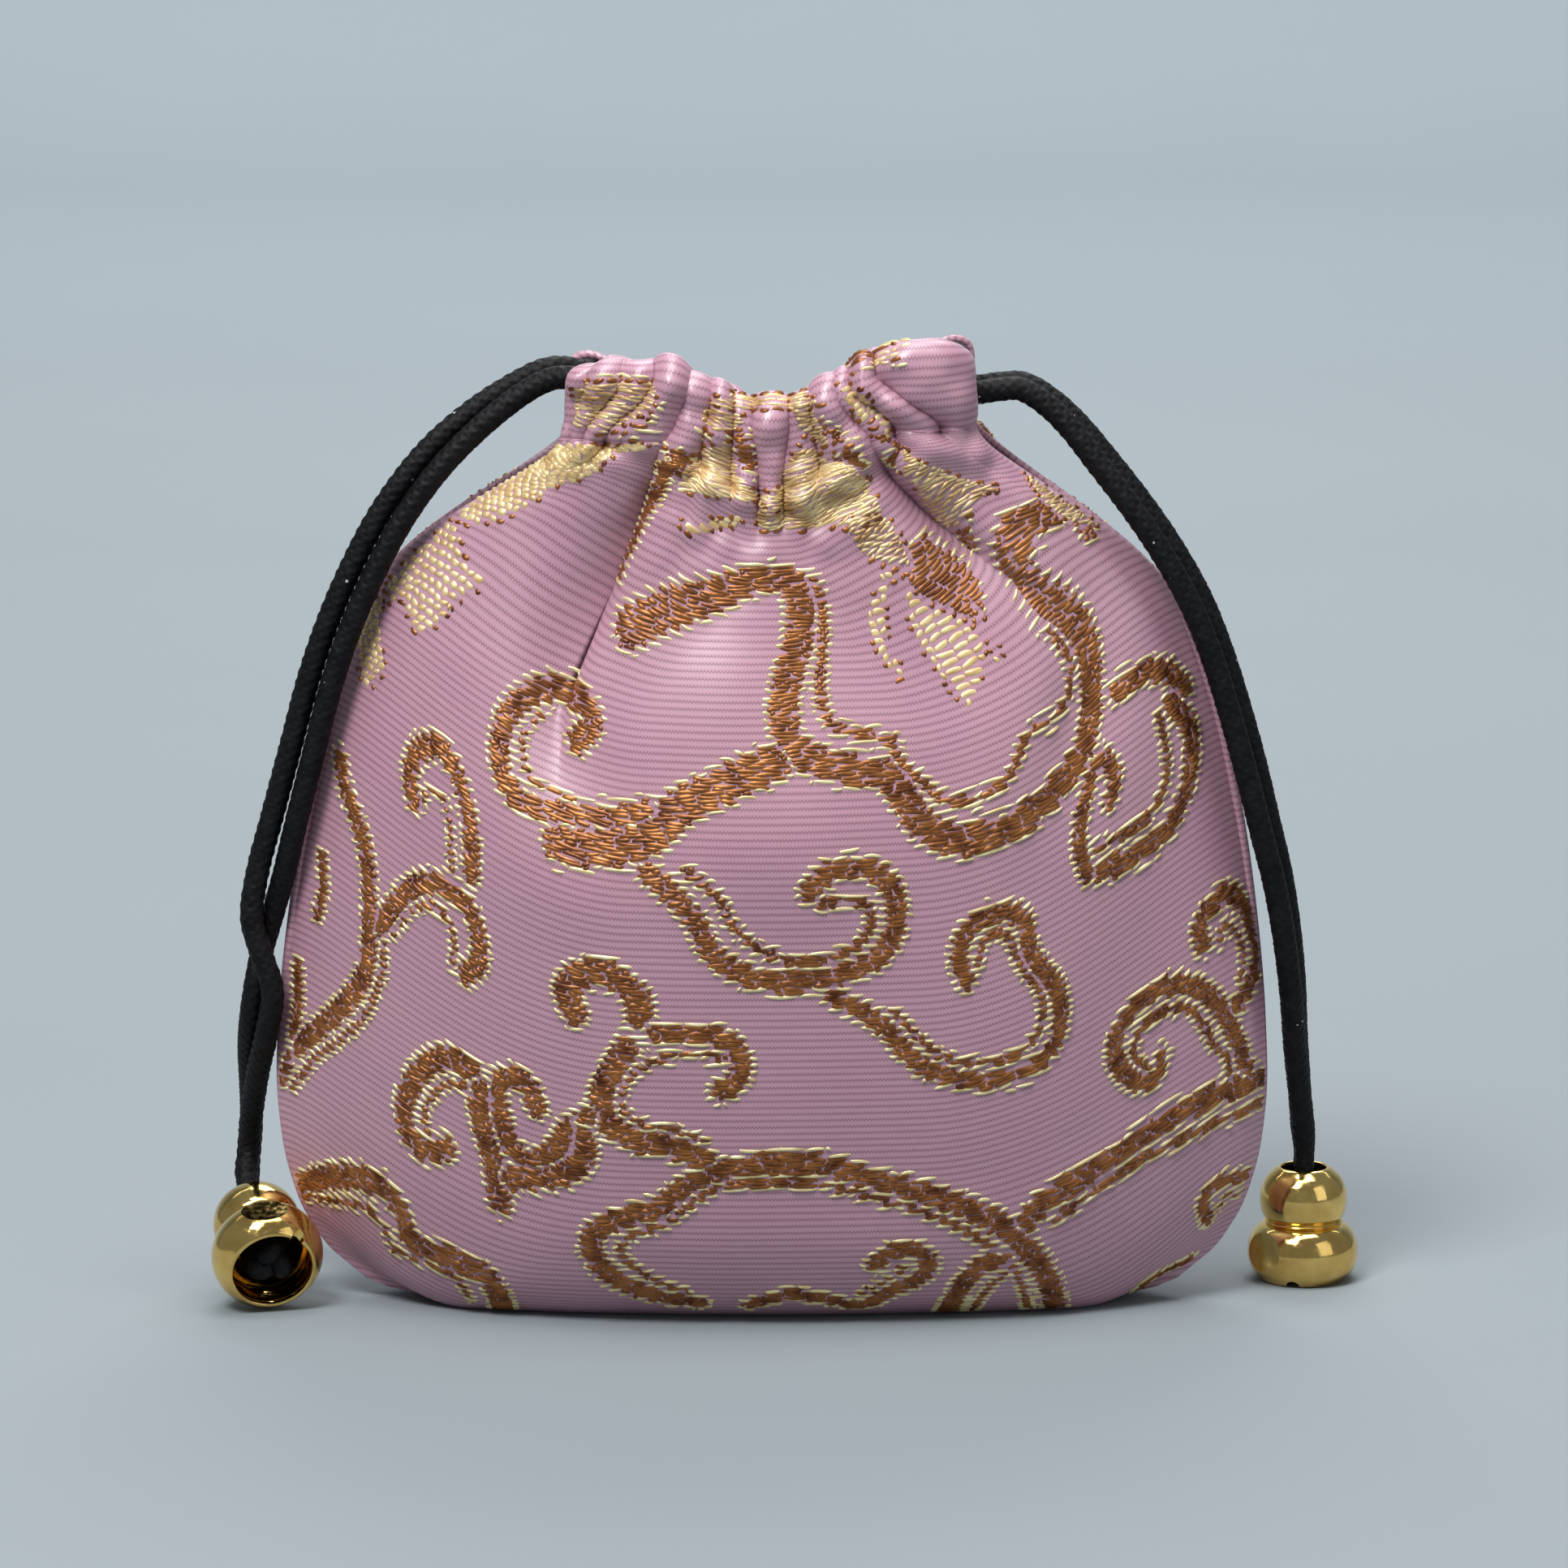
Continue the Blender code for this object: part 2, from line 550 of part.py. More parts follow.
def dish_cutter(name):
    """Build the large ball that presses the dish into the side of a bead."""
    surface = math.sqrt(BEAD_RADIUS ** 2 - DISH_RADIUS ** 2)
    distance = surface + math.sqrt(DISH_SPHERE ** 2 - DISH_RADIUS ** 2)
    cap = []
    for index in range(1, DISH_RINGS + 1):
        angle = math.asin(DISH_TOOL_SPREAD * DISH_RADIUS / DISH_SPHERE) * index / DISH_RINGS
        cap.append((DISH_SPHERE * math.sin(angle), -DISH_SPHERE * math.cos(angle)))
    wide = cap[-1][0]
    section = [(DISH_TOOL_TIP, -DISH_SPHERE)] + cap + [(wide, cap[-1][1] + DISH_TOOL_HEIGHT)]
    vertices, faces = lathe(section, DISH_SEGMENTS)
    faces.append(tuple(range(DISH_SEGMENTS)))
    faces.append(tuple(range(len(vertices) - DISH_SEGMENTS, len(vertices))))
    turn = Vector((math.cos(DISH_LIFT), 0, math.sin(DISH_LIFT))).to_track_quat("Z", "Y").to_matrix()
    centre = Vector((math.cos(DISH_LIFT), 0, math.sin(DISH_LIFT))) * distance
    centre.z += BEAD_EQUATOR
    placed = [turn @ Vector(vertex) + centre for vertex in vertices]
    mesh = bpy.data.meshes.new(name + "_dish_cut")
    mesh.from_pydata([tuple(vertex) for vertex in placed], [], faces)
    work = bmesh.new()
    work.from_mesh(mesh)
    bmesh.ops.recalc_face_normals(work, faces=work.faces)
    work.to_mesh(mesh)
    work.free()
    cutter = bpy.data.objects.new(name + "_dish_cut", mesh)
    bpy.context.scene.collection.objects.link(cutter)
    return hide_cutter(cutter)


def notch_cutter(name):
    """Build the short rod that cuts the notch in the open rim of a bead."""
    work = bmesh.new()
    bmesh.ops.create_cone(work, cap_ends=True, segments=NOTCH_SEGMENTS, radius1=NOTCH_RADIUS,
                          radius2=NOTCH_RADIUS, depth=NOTCH_REACH)
    turn = Matrix.Rotation(NOTCH_ANGLE, 4, "Z") @ Matrix.Translation((NOTCH_PLACE, 0, NOTCH_HEIGHT))
    turn = turn @ Matrix.Rotation(math.pi / 2, 4, "Y")
    bmesh.ops.transform(work, matrix=turn, verts=work.verts)
    mesh = bpy.data.meshes.new(name + "_notch_cut")
    work.to_mesh(mesh)
    work.free()
    cutter = bpy.data.objects.new(name + "_notch_cut", mesh)
    bpy.context.scene.collection.objects.link(cutter)
    return hide_cutter(cutter)


def add_knot(name, frame, material):
    """Build the knot that holds two cord ends inside a bead."""
    section = [(r * MM, z * MM + KNOT_HEIGHT_IN_BEAD) for r, z in KNOT_SECTION_MM]
    vertices, faces = lathe(section, KNOT_SEGMENTS)
    faces.append(tuple(range(KNOT_SEGMENTS)))
    faces.append(tuple(range(len(vertices) - KNOT_SEGMENTS, len(vertices))))
    placed = [frame @ Vector(vertex) for vertex in vertices]
    return add_mesh(name, placed, faces, material)


def bead_frame(place, axis, dish):
    """Return the placement of a bead: origin at its open end, Z along its axis, X to the dish."""
    side = (dish - axis * dish.dot(axis)).normalized()
    third = axis.cross(side)
    frame = Matrix((side, third, axis)).transposed().to_4x4()
    frame.translation = place
    return frame


def add_material(name, colour, metallic, roughness):
    """Add one plain material."""
    material = bpy.data.materials.new(name)
    material.use_nodes = True
    shader = material.node_tree.nodes["Principled BSDF"]
    shader.inputs["Base Color"].default_value = (*colour, 1.0)
    shader.inputs["Metallic"].default_value = metallic
    shader.inputs["Roughness"].default_value = roughness
    material.diffuse_color = (*colour, 1.0)
    material.metallic = metallic
    material.roughness = roughness
    return material


def build():
    """Build every piece of the pouch."""
    for item in list(bpy.data.objects):
        bpy.data.objects.remove(item, do_unlink=True)

    front_cloth = add_material("front_cloth", (0.56, 0.33, 0.50), 0.0, 0.55)
    back_cloth = add_material("back_cloth", (0.50, 0.29, 0.45), 0.0, 0.55)
    cords = [add_material("cord_" + side, (0.012, 0.012, 0.013), 0.0, 0.8) for side in ("left", "right")]
    golds = [add_material("gold_" + side, (0.62, 0.42, 0.10), 1.0, 0.18) for side in ("left", "right")]
    knots = [add_material("knot_" + side, (0.012, 0.012, 0.013), 0.0, 0.8) for side in ("left", "right")]

    front = Gathers(FRONT_VALLEYS_NECK, FRONT_VALLEYS_LOW, FRONT_REACH_MM, FRONT_EXTRA_MM)
    back = Gathers(BACK_VALLEYS_NECK, BACK_VALLEYS_LOW, BACK_REACH_MM, BACK_EXTRA_MM)
    add_panel("front_panel", front, False, front_cloth)
    add_panel("back_panel", back, True, back_cloth)

    left_place = LEFT_BEAD_CENTRE - LEFT_BEAD_AXIS * BEAD_EQUATOR
    left_frame = bead_frame(left_place, LEFT_BEAD_AXIS, LEFT_DISH_DIRECTION)
    azimuth = Vector((-math.sin(RIGHT_DISH_AZIMUTH), -math.cos(RIGHT_DISH_AZIMUTH), 0))
    right_frame = bead_frame(RIGHT_BEAD_PLACE, Vector((0, 0, 1)), azimuth)
    add_bead("bead_left", left_frame, golds[0])
    add_bead("bead_right", right_frame, golds[1])
    add_knot("knot_left", left_frame, knots[0])
    add_knot("knot_right", right_frame, knots[1])

    left_legs = leg_pair(LEFT_LEGS_MM, left_frame, Vector((1, 0, 0)))
    add_cord("cord_left", drawstring_route(left_legs, UPPER_LANE, -1), cords[0])
    backward = right_frame.to_3x3().inverted() @ Vector((0, 1, 0))
    right_legs = leg_pair(RIGHT_LEGS_MM, right_frame, backward)
    add_cord("cord_right", drawstring_route(right_legs, LOWER_LANE, 1), cords[1])


build()
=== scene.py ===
import logging
import math
from dataclasses import dataclass, field
from enum import Enum

import bmesh
import bpy
import numpy as np
from mathutils import Matrix, Vector
from mathutils.bvhtree import BVHTree


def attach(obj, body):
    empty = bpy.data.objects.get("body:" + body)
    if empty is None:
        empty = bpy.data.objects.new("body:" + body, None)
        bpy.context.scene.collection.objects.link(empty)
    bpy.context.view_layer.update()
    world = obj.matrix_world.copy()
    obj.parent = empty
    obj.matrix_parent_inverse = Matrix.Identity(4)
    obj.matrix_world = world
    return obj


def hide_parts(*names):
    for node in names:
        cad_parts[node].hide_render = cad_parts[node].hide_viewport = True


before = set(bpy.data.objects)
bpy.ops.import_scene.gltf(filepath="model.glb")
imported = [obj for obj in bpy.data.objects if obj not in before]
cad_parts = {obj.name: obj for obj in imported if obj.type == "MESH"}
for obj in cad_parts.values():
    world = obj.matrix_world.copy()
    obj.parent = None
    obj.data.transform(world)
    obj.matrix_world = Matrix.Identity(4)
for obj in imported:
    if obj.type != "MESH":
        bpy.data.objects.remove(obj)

LOG = logging.getLogger("kinchaku")
MM = 0.001
WHITE = (1.0, 1.0, 1.0)

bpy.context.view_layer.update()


class Face(Enum):
    """The two panels of the pouch."""

    FRONT = "front"
    BACK = "back"


class Yarn(Enum):
    """The kinds of float that the loom lays on the silk."""

    COPPER = "copper"
    OUTLINE = "outline"
    BLOSSOM = "blossom"
    SATIN = "satin"
    STITCH = "stitch"


def smooth_step(value: np.ndarray) -> np.ndarray:
    """Ease a value from 0 to 1.

    Args:
        value: Any array or number.

    Returns:
        The eased value, clamped to 0..1.
    """
    value = np.clip(value, 0.0, 1.0)
    return value * value * (3 - 2 * value)


def hermite(keys: list, values: list, at: np.ndarray) -> np.ndarray:
    """Read a smooth curve through key points.

    Args:
        keys: Rising places of the key points.
        values: Their values.
        at: Places to read.

    Returns:
        The curve's values there.
    """
    keys = np.asarray(keys, dtype=float)
    values = np.asarray(values, dtype=float)
    at = np.asarray(at, dtype=float)
    slopes = np.gradient(values, keys)
    index = np.clip(np.searchsorted(keys, at) - 1, 0, len(keys) - 2)
    span = keys[index + 1] - keys[index]
    part = (at - keys[index]) / span
    return ((1 + 2 * part) * (1 - part) ** 2 * values[index]
            + part * (1 - part) ** 2 * span * slopes[index]
            + part * part * (3 - 2 * part) * values[index + 1]
            + part * part * (part - 1) * span * slopes[index + 1])


def read_rows(rows: tuple, column: int, at: np.ndarray) -> np.ndarray:
    """Read one column of a list of stations as a smooth curve over their first column.

    Args:
        rows: Stations, each with its place first.
        column: The column to read.
        at: Places to read.

    Returns:
        The curve's values there.
    """
    return hermite([row[0] for row in rows], [row[column] for row in rows], at)


def catmull(points: np.ndarray, steps: int) -> np.ndarray:
    """Draw a smooth curve through points.

    Args:
        points: Array of points.
        steps: Steps between two of them.

    Returns:
        The close points of the curve.
    """
    points = np.asarray(points, dtype=float)
    before = np.vstack((points[:1], points[:-2])) if len(points) > 2 else points[:1]
    after = np.vstack((points[2:], points[-1:])) if len(points) > 2 else points[-1:]
    start, end = points[:-1], points[1:]
    part = np.arange(steps)[None, :, None] / steps
    a, b, c, d = (item[:, None, :] for item in (before, start, end, after))
    curve = 0.5 * (2 * b + (c - a) * part + (2 * a - 5 * b + 4 * c - d) * part ** 2
                   + (3 * b - a - 3 * c + d) * part ** 3)
    return np.vstack((curve.reshape(-1, points.shape[1]), points[-1:]))


def run_lengths(points: np.ndarray) -> np.ndarray:
    """Return how far along a line each of its points lies."""
    return np.concatenate(([0.0], np.cumsum(np.linalg.norm(np.diff(points, axis=0), axis=1))))


def even_steps(points: np.ndarray, step: float) -> np.ndarray:
    """Place points an even step apart along a line.

    Args:
        points: Close points of the line.
        step: Wanted distance.

    Returns:
        The evenly placed points.
    """
    runs = run_lengths(points)
    count = max(2, int(round(runs[-1] / step)) + 1)
    places = np.linspace(0.0, runs[-1], count)
    return np.stack([np.interp(places, runs, column) for column in points.T], axis=1)


def cord_rings(centre: np.ndarray, side: np.ndarray, over: np.ndarray, angle: np.ndarray,
               radius: np.ndarray) -> np.ndarray:
    """Place rings of points round a centreline.

    Args:
        centre: Points of the centreline.
        side: Direction of angle zero at each of them.
        over: Direction of a quarter turn at each of them.
        angle: Angles of the points of a ring.
        radius: Radius of each ring at each angle.

    Returns:
        Array of rings, points and coordinates.
    """
    return (centre[:, None, :] + side[:, None, :] * (np.cos(angle) * radius)[..., None]
            + over[:, None, :] * (np.sin(angle) * radius)[..., None])


def link(name: str, mesh: bpy.types.Mesh) -> bpy.types.Object:
    """Put a mesh into the scene.

    Args:
        name: Name of the piece.
        mesh: Its mesh.

    Returns:
        The new object.
    """
    piece = bpy.data.objects.new(name, mesh)
    bpy.context.scene.collection.objects.link(piece)
    return piece


def finish_mesh(work: bmesh.types.BMesh, name: str) -> bpy.types.Object:
    """Turn working geometry into a smooth piece with faces that point outwards.

    Args:
        work: The working geometry; it is freed.
        name: Name of the piece.

    Returns:
        The new object.
    """
    bmesh.ops.recalc_face_normals(work, faces=work.faces)
    for each in work.faces:
        each.smooth = True
    mesh = bpy.data.meshes.new(name)
    work.to_mesh(mesh)
    work.free()
    return link(name, mesh)


def grid_mesh(points: np.ndarray, name: str, flat: np.ndarray | None = None,
              roll: bool = False, close: bool = False) -> bpy.types.Object:
    """Bend a plain grid into a sheet or a tube.

    Args:
        points: Array of rows, columns and coordinates.
        name: Name of the piece.
        flat: Flat coordinates of the same points, in metres.
        roll: Whether the first and last column meet.
        close: Whether the first and last row meet too.

    Returns:
        The new object.
    """
    rows, columns = points.shape[:2]
    work = bmesh.new()
    layer = work.loops.layers.uv.new("Flat")
    bmesh.ops.create_grid(work, x_segments=columns - 1, y_segments=rows - 1, size=1.0)
    work.verts.ensure_lookup_table()
    for vertex in work.verts:
        column = int(round((vertex.co.x + 1) / 2 * (columns - 1)))
        row = int(round((vertex.co.y + 1) / 2 * (rows - 1)))
        vertex.index = row * columns + column
    place = [vertex.index for vertex in work.verts]
    if flat is not None:
        table = flat.reshape(-1, 2)
        for each in work.faces:
            for loop in each.loops:
                loop[layer].uv = table[loop.vert.index]
    table = points.reshape(-1, 3)
    for vertex, index in zip(work.verts, place):
        vertex.co = table[index]
    if roll:
        bmesh.ops.remove_doubles(work, verts=work.verts, dist=1e-7)
        if not close:
            rim = [edge for edge in work.edges if edge.is_boundary]
            bmesh.ops.holes_fill(work, edges=rim, sides=0)
    return finish_mesh(work, name)


def strips_mesh(points: np.ndarray, flat: np.ndarray, name: str) -> bpy.types.Object:
    """Bend one long grid into many separate little strips.

    Args:
        points: Array of strips, steps along, steps across and coordinates.
        flat: Flat coordinates of the same points, in metres.
        name: Name of the piece.

    Returns:
        The new object.
    """
    count, along, across = points.shape[:3]
    work = bmesh.new()
    bmesh.ops.create_grid(work, x_segments=count * along - 1, y_segments=across - 1, size=1.0)
    work.verts.ensure_lookup_table()
    columns = np.array([vertex.co.x for vertex in work.verts], dtype=float)
    rows = np.array([vertex.co.y for vertex in work.verts], dtype=float)
    columns = np.rint((columns + 1) / 2 * (count * along - 1)).astype(int)
    rows = np.rint((rows + 1) / 2 * (across - 1)).astype(int)
    places = points.reshape(-1, across, 3)[columns, rows]
    marks = work.verts.layers.int.new("place")
    for vertex, place, column, row in zip(work.verts, places, columns, rows):
        vertex.co = place
        vertex[marks] = int(column * across + row)
        vertex.index = int(column)
    bridges = [face for face in work.faces
               if len({vertex.index // along for vertex in face.verts}) > 1]
    bmesh.ops.delete(work, geom=bridges, context="FACES")
    mesh = bpy.data.meshes.new(name)
    work.to_mesh(mesh)
    work.free()
    marks = np.zeros(len(mesh.vertices), dtype=np.int32)
    mesh.attributes["place"].data.foreach_get("value", marks)
    corners = np.zeros(len(mesh.loops), dtype=np.int32)
    mesh.loops.foreach_get("vertex_index", corners)
    layer = mesh.uv_layers.new(name="Flat")
    layer.data.foreach_set("uv", flat.reshape(-1, 2)[marks[corners]].ravel())
    mesh.attributes.remove(mesh.attributes["place"])
    mesh.polygons.foreach_set("use_smooth", np.ones(len(mesh.polygons), dtype=bool))
    return link(name, mesh)


class NodeSheet:
    """A short way to lay out the nodes of one material."""

    def __init__(self, name: str) -> None:
        """Start a material that has one shader.

        Args:
            name: Name of the material.
        """
        self.material = bpy.data.materials.new(name)
        self.material.use_nodes = True
        self.tree = self.material.node_tree
        self.shader = self.tree.nodes["Principled BSDF"]

    def set(self, **values: object) -> None:
        """Set plain values on the shader's own sockets."""
        for key, value in values.items():
            self.shader.inputs[key.replace("_", " ")].default_value = value

    def feed(self, socket: bpy.types.NodeSocket, value: object) -> None:
        """Link a socket to a node's output, or give it a value.

        Args:
            socket: The socket to feed.
            value: A node's output, or a plain value.
        """
        if isinstance(value, bpy.types.NodeSocket):
            self.tree.links.new(value, socket)
        else:
            socket.default_value = value

    def add(self, kind: str, inputs: dict | None = None, **settings: object) -> bpy.types.Node:
        """Add a node.

        Args:
            kind: Blender's name of the node type.
            inputs: Values or sockets by input name or number.
            settings: Properties of the node.

        Returns:
            The node.
        """
        node = self.tree.nodes.new(kind)
        for key, value in settings.items():
            setattr(node, key, value)
        for key, value in (inputs or {}).items():
            self.feed(node.inputs[key], value)
        return node

    def math(self, operation: str, first: object, second: object = 0.0,
             third: object = 0.0) -> bpy.types.NodeSocket:
        """Return the output of a math node."""
        return self.add("ShaderNodeMath", {0: first, 1: second, 2: third}, operation=operation).outputs[0]

    def ramp(self, value: object, stops: list) -> bpy.types.NodeSocket:
        """Colour a value by a ramp.

        Args:
            value: Socket to read.
            stops: Pairs of place and colour.

        Returns:
            The colour output.
        """
        node = self.add("ShaderNodeValToRGB", {"Fac": value})
        marks = node.color_ramp.elements
        while len(marks) < len(stops):
            marks.new(0.5)
        for mark, (place, colour) in zip(marks, stops):
            mark.position = place
            mark.color = (*colour, 1.0)
        return node.outputs["Color"]

    def cloth(self) -> bpy.types.NodeSocket:
        """Return the flat coordinates of the cloth."""
        return self.add("ShaderNodeUVMap", uv_map="Flat").outputs["UV"]

    def place(self) -> bpy.types.NodeSocket:
        """Return the coordinates of the piece."""
        return self.add("ShaderNodeTexCoord").outputs["Object"]

    def stretch(self, vector: object, scale: tuple) -> bpy.types.NodeSocket:
        """Return coordinates that are scaled for each direction by itself."""
        return self.add("ShaderNodeMapping", {"Vector": vector, "Scale": scale}).outputs[0]

    def noise(self, vector: object, scale: float, detail: float = 2.0) -> bpy.types.NodeSocket:
        """Return the value output of a noise node."""
        node = self.add("ShaderNodeTexNoise", {"Vector": vector, "Scale": scale, "Detail": detail})
        return node.outputs["Fac"]

    def mix(self, share: object, first: object, second: object, blend: str = "MIX") -> bpy.types.NodeSocket:
        """Mix two colours.

        Args:
            share: How much of the second colour is used.
            first: The first colour.
            second: The second colour.
            blend: Blender's name of the way to mix them.

        Returns:
            The colour output.
        """
        node = self.add("ShaderNodeMix", data_type="RGBA", blend_type=blend)
        self.feed(node.inputs[0], share)
        self.feed(node.inputs[6], first)
        self.feed(node.inputs[7], second)
        return node.outputs[2]

    def colour(self, value: object) -> None:
        """Colour the surface by a socket."""
        self.feed(self.shader.inputs["Base Color"], value)

    def rough(self, value: object) -> None:
        """Roughen the surface by a socket."""
        self.feed(self.shader.inputs["Roughness"], value)

    def bump(self, height: object, distance: float, strength: float = 1.0) -> None:
        """Raise the surface by a height socket."""
        node = self.add("ShaderNodeBump", {"Height": height, "Distance": distance, "Strength": strength})
        self.tree.links.new(node.outputs["Normal"], self.shader.inputs["Normal"])


@dataclass(frozen=True)
class SilkGround:
    """Shot silk satin with a fine crosswise rib and tiny pick dots, with painted shade in the furrows between
    the ribs.
    """

    name: str
    light: tuple = (0.520, 0.290, 0.358)
    # Colour in the dots and furrows: partly the weave's own dots, partly painted shade
    dots_and_furrow_shade: tuple = (0.170, 0.060, 0.092)
    rib: float = 0.78 * MM
    rib_power: float = 1.1
    dot: float = 0.37 * MM
    dot_power: float = 1.6
    furrow: float = 0.06
    slub: tuple = (160.0, 2600.0, 1.0)
    relief: float = 0.012 * MM

    def cells(self, sheet: NodeSheet, flat: bpy.types.NodeSocket) -> bpy.types.NodeSocket:
        """Weave the ribs, with a row of pick dots in each furrow between two of them.

        Args:
            sheet: The material's nodes.
            flat: Flat coordinates of the cloth.

        Returns:
            The height of the weave, from 0 in a dot to 1 on a rib.
        """
        split = sheet.add("ShaderNodeSeparateXYZ", {0: flat})
        across, up = split.outputs["X"], split.outputs["Y"]
        rows = sheet.math("MULTIPLY", up, math.pi / self.rib)
        rib = sheet.math("ABSOLUTE", sheet.math("SINE", rows))
        row_number = sheet.math("FLOOR", sheet.math("MULTIPLY", up, 1 / self.rib))
        shift = sheet.math("MULTIPLY", sheet.math("PINGPONG", row_number, 1.0), math.pi / 2)
        columns = sheet.math("ADD", sheet.math("MULTIPLY", across, math.pi / self.dot), shift)
        pick = sheet.math("ABSOLUTE", sheet.math("SINE", columns))
        furrow = sheet.math("POWER", sheet.math("SUBTRACT", 1.0, rib), self.rib_power)
        dots = sheet.math("MULTIPLY_ADD", sheet.math("POWER", pick, self.dot_power), 1.0, self.furrow)
        return sheet.math("SUBTRACT", 1.0, sheet.math("MULTIPLY", furrow, dots))

    def make(self) -> bpy.types.Material:
        """Mix the colours of the silk; the darker dots and furrows are partly the weave's own colour and
        partly painted shade.

        Returns:
            The material.
        """
        sheet = NodeSheet(self.name)
        flat = sheet.cloth()
        cell = self.cells(sheet, flat)
        cloud = sheet.noise(flat, 90.0, 3.0)
        slub = sheet.noise(sheet.stretch(flat, self.slub), 1.0, 1.0)
        # Painted shade: the colour darkens with the weave's height towards the dots and furrows, partly the
        # dots' own thread and partly shade in the furrows
        base = sheet.mix(cell, (*self.dots_and_furrow_shade, 1.0), (*self.light, 1.0))
        tint = sheet.ramp(cloud, [(0.3, (0.94, 0.90, 0.97)), (0.7, WHITE)])
        base = sheet.mix(0.6, base, tint, "MULTIPLY")
        streak = sheet.ramp(slub, [(0.25, (0.90, 0.88, 0.92)), (0.75, WHITE)])
        sheet.colour(sheet.mix(0.7, base, streak, "MULTIPLY"))
        sheet.rough(sheet.math("MULTIPLY_ADD", cell, -0.12, 0.50))
        sheet.set(Specular_IOR_Level=0.90, Sheen_Weight=0.14, Sheen_Roughness=0.35,
                  Sheen_Tint=(0.95, 0.75, 0.92, 1.0), Anisotropic=0.3)
        sheet.bump(cell, self.relief)
        return sheet.material


@dataclass(frozen=True)
class FoilThread:
    """Flat metallic thread with fine fibres and worn, darker places."""

    name: str
    bright: tuple
    dull: tuple
    metal: float = 0.55
    rough: float = 0.36
    fibre: tuple = (700.0, 14000.0, 1.0)
    relief: float = 0.03 * MM

    def make(self) -> bpy.types.Material:
        """Spin the thread from bright and worn foil.

        Returns:
            The material.
        """
        sheet = NodeSheet(self.name)
        flat = sheet.cloth()
        patch = sheet.noise(flat, 420.0, 3.0)
        fibre = sheet.noise(sheet.stretch(flat, self.fibre), 1.0, 2.0)
        colour = sheet.ramp(patch, [(0.30, self.dull), (0.62, self.bright)])
        shade = sheet.ramp(fibre, [(0.25, (0.62, 0.58, 0.55)), (0.65, WHITE)])
        sheet.colour(sheet.mix(0.8, colour, shade, "MULTIPLY"))
        sheet.rough(sheet.math("MULTIPLY_ADD", fibre, 0.2, self.rough - 0.1))
        sheet.set(Metallic=self.metal, Specular_IOR_Level=0.5)
        sheet.bump(fibre, self.relief)
        return sheet.material


@dataclass(frozen=True)
class BraidedCord:
    """Black braided yarn with a dull gleam and a little pale lint."""

    name: str
    black: tuple = (0.0025, 0.0025, 0.003)
    worn: tuple = (0.009, 0.009, 0.010)
    lint: tuple = (0.42, 0.42, 0.44)
    lint_size: float = 0.10
    lint_rareness: float = 0.63
    relief: float = 0.05 * MM

    def make(self) -> bpy.types.Material:
        """Dye the yarn and scatter the lint.

        Returns:
            The material.
        """
        sheet = NodeSheet(self.name)
        place = sheet.place()
        body = sheet.ramp(sheet.noise(place, 900.0, 3.0), [(0.35, self.black), (0.75, self.worn)])
        speck = sheet.add("ShaderNodeTexVoronoi", {"Vector": place, "Scale": 620.0}).outputs["Distance"]
        chosen = sheet.noise(place, 330.0, 1.0)
        near = sheet.math("LESS_THAN", speck, self.lint_size)
        rare = sheet.math("GREATER_THAN", chosen, self.lint_rareness)
        spot = sheet.math("MULTIPLY", near, rare)
        sheet.colour(sheet.mix(spot, body, (*self.lint, 1.0)))
        sheet.rough(sheet.math("MULTIPLY_ADD", sheet.noise(place, 2500.0, 2.0), 0.25, 0.42))
        sheet.set(Specular_IOR_Level=0.15)
        sheet.bump(sheet.noise(place, 5200.0, 3.0), self.relief)
        return sheet.material


@dataclass(frozen=True)
class PolishedBrass:
    """Gilt brass with a mirror polish, faint waves and fine scuffs."""

    name: str
    bright: tuple = (0.92, 0.66, 0.23)
    deep: tuple = (0.60, 0.36, 0.09)
    polished: float = 0.07
    scuffed: float = 0.26
    relief: float = 0.03 * MM

    def make(self) -> bpy.types.Material:
        """Gild and polish the brass.

        Returns:
            The material.
        """
        sheet = NodeSheet(self.name)
        place = sheet.place()
        cloud = sheet.noise(place, 260.0, 3.0)
        sheet.colour(sheet.ramp(cloud, [(0.25, self.deep), (0.7, self.bright)]))
        scuff = sheet.noise(place, 1700.0, 4.0)
        sheet.rough(sheet.ramp(scuff, [(0.40, (self.polished,) * 3), (0.80, (self.scuffed,) * 3)]))
        sheet.set(Metallic=1.0)
        sheet.bump(sheet.noise(place, 420.0, 2.0), self.relief, 0.5)
        return sheet.material


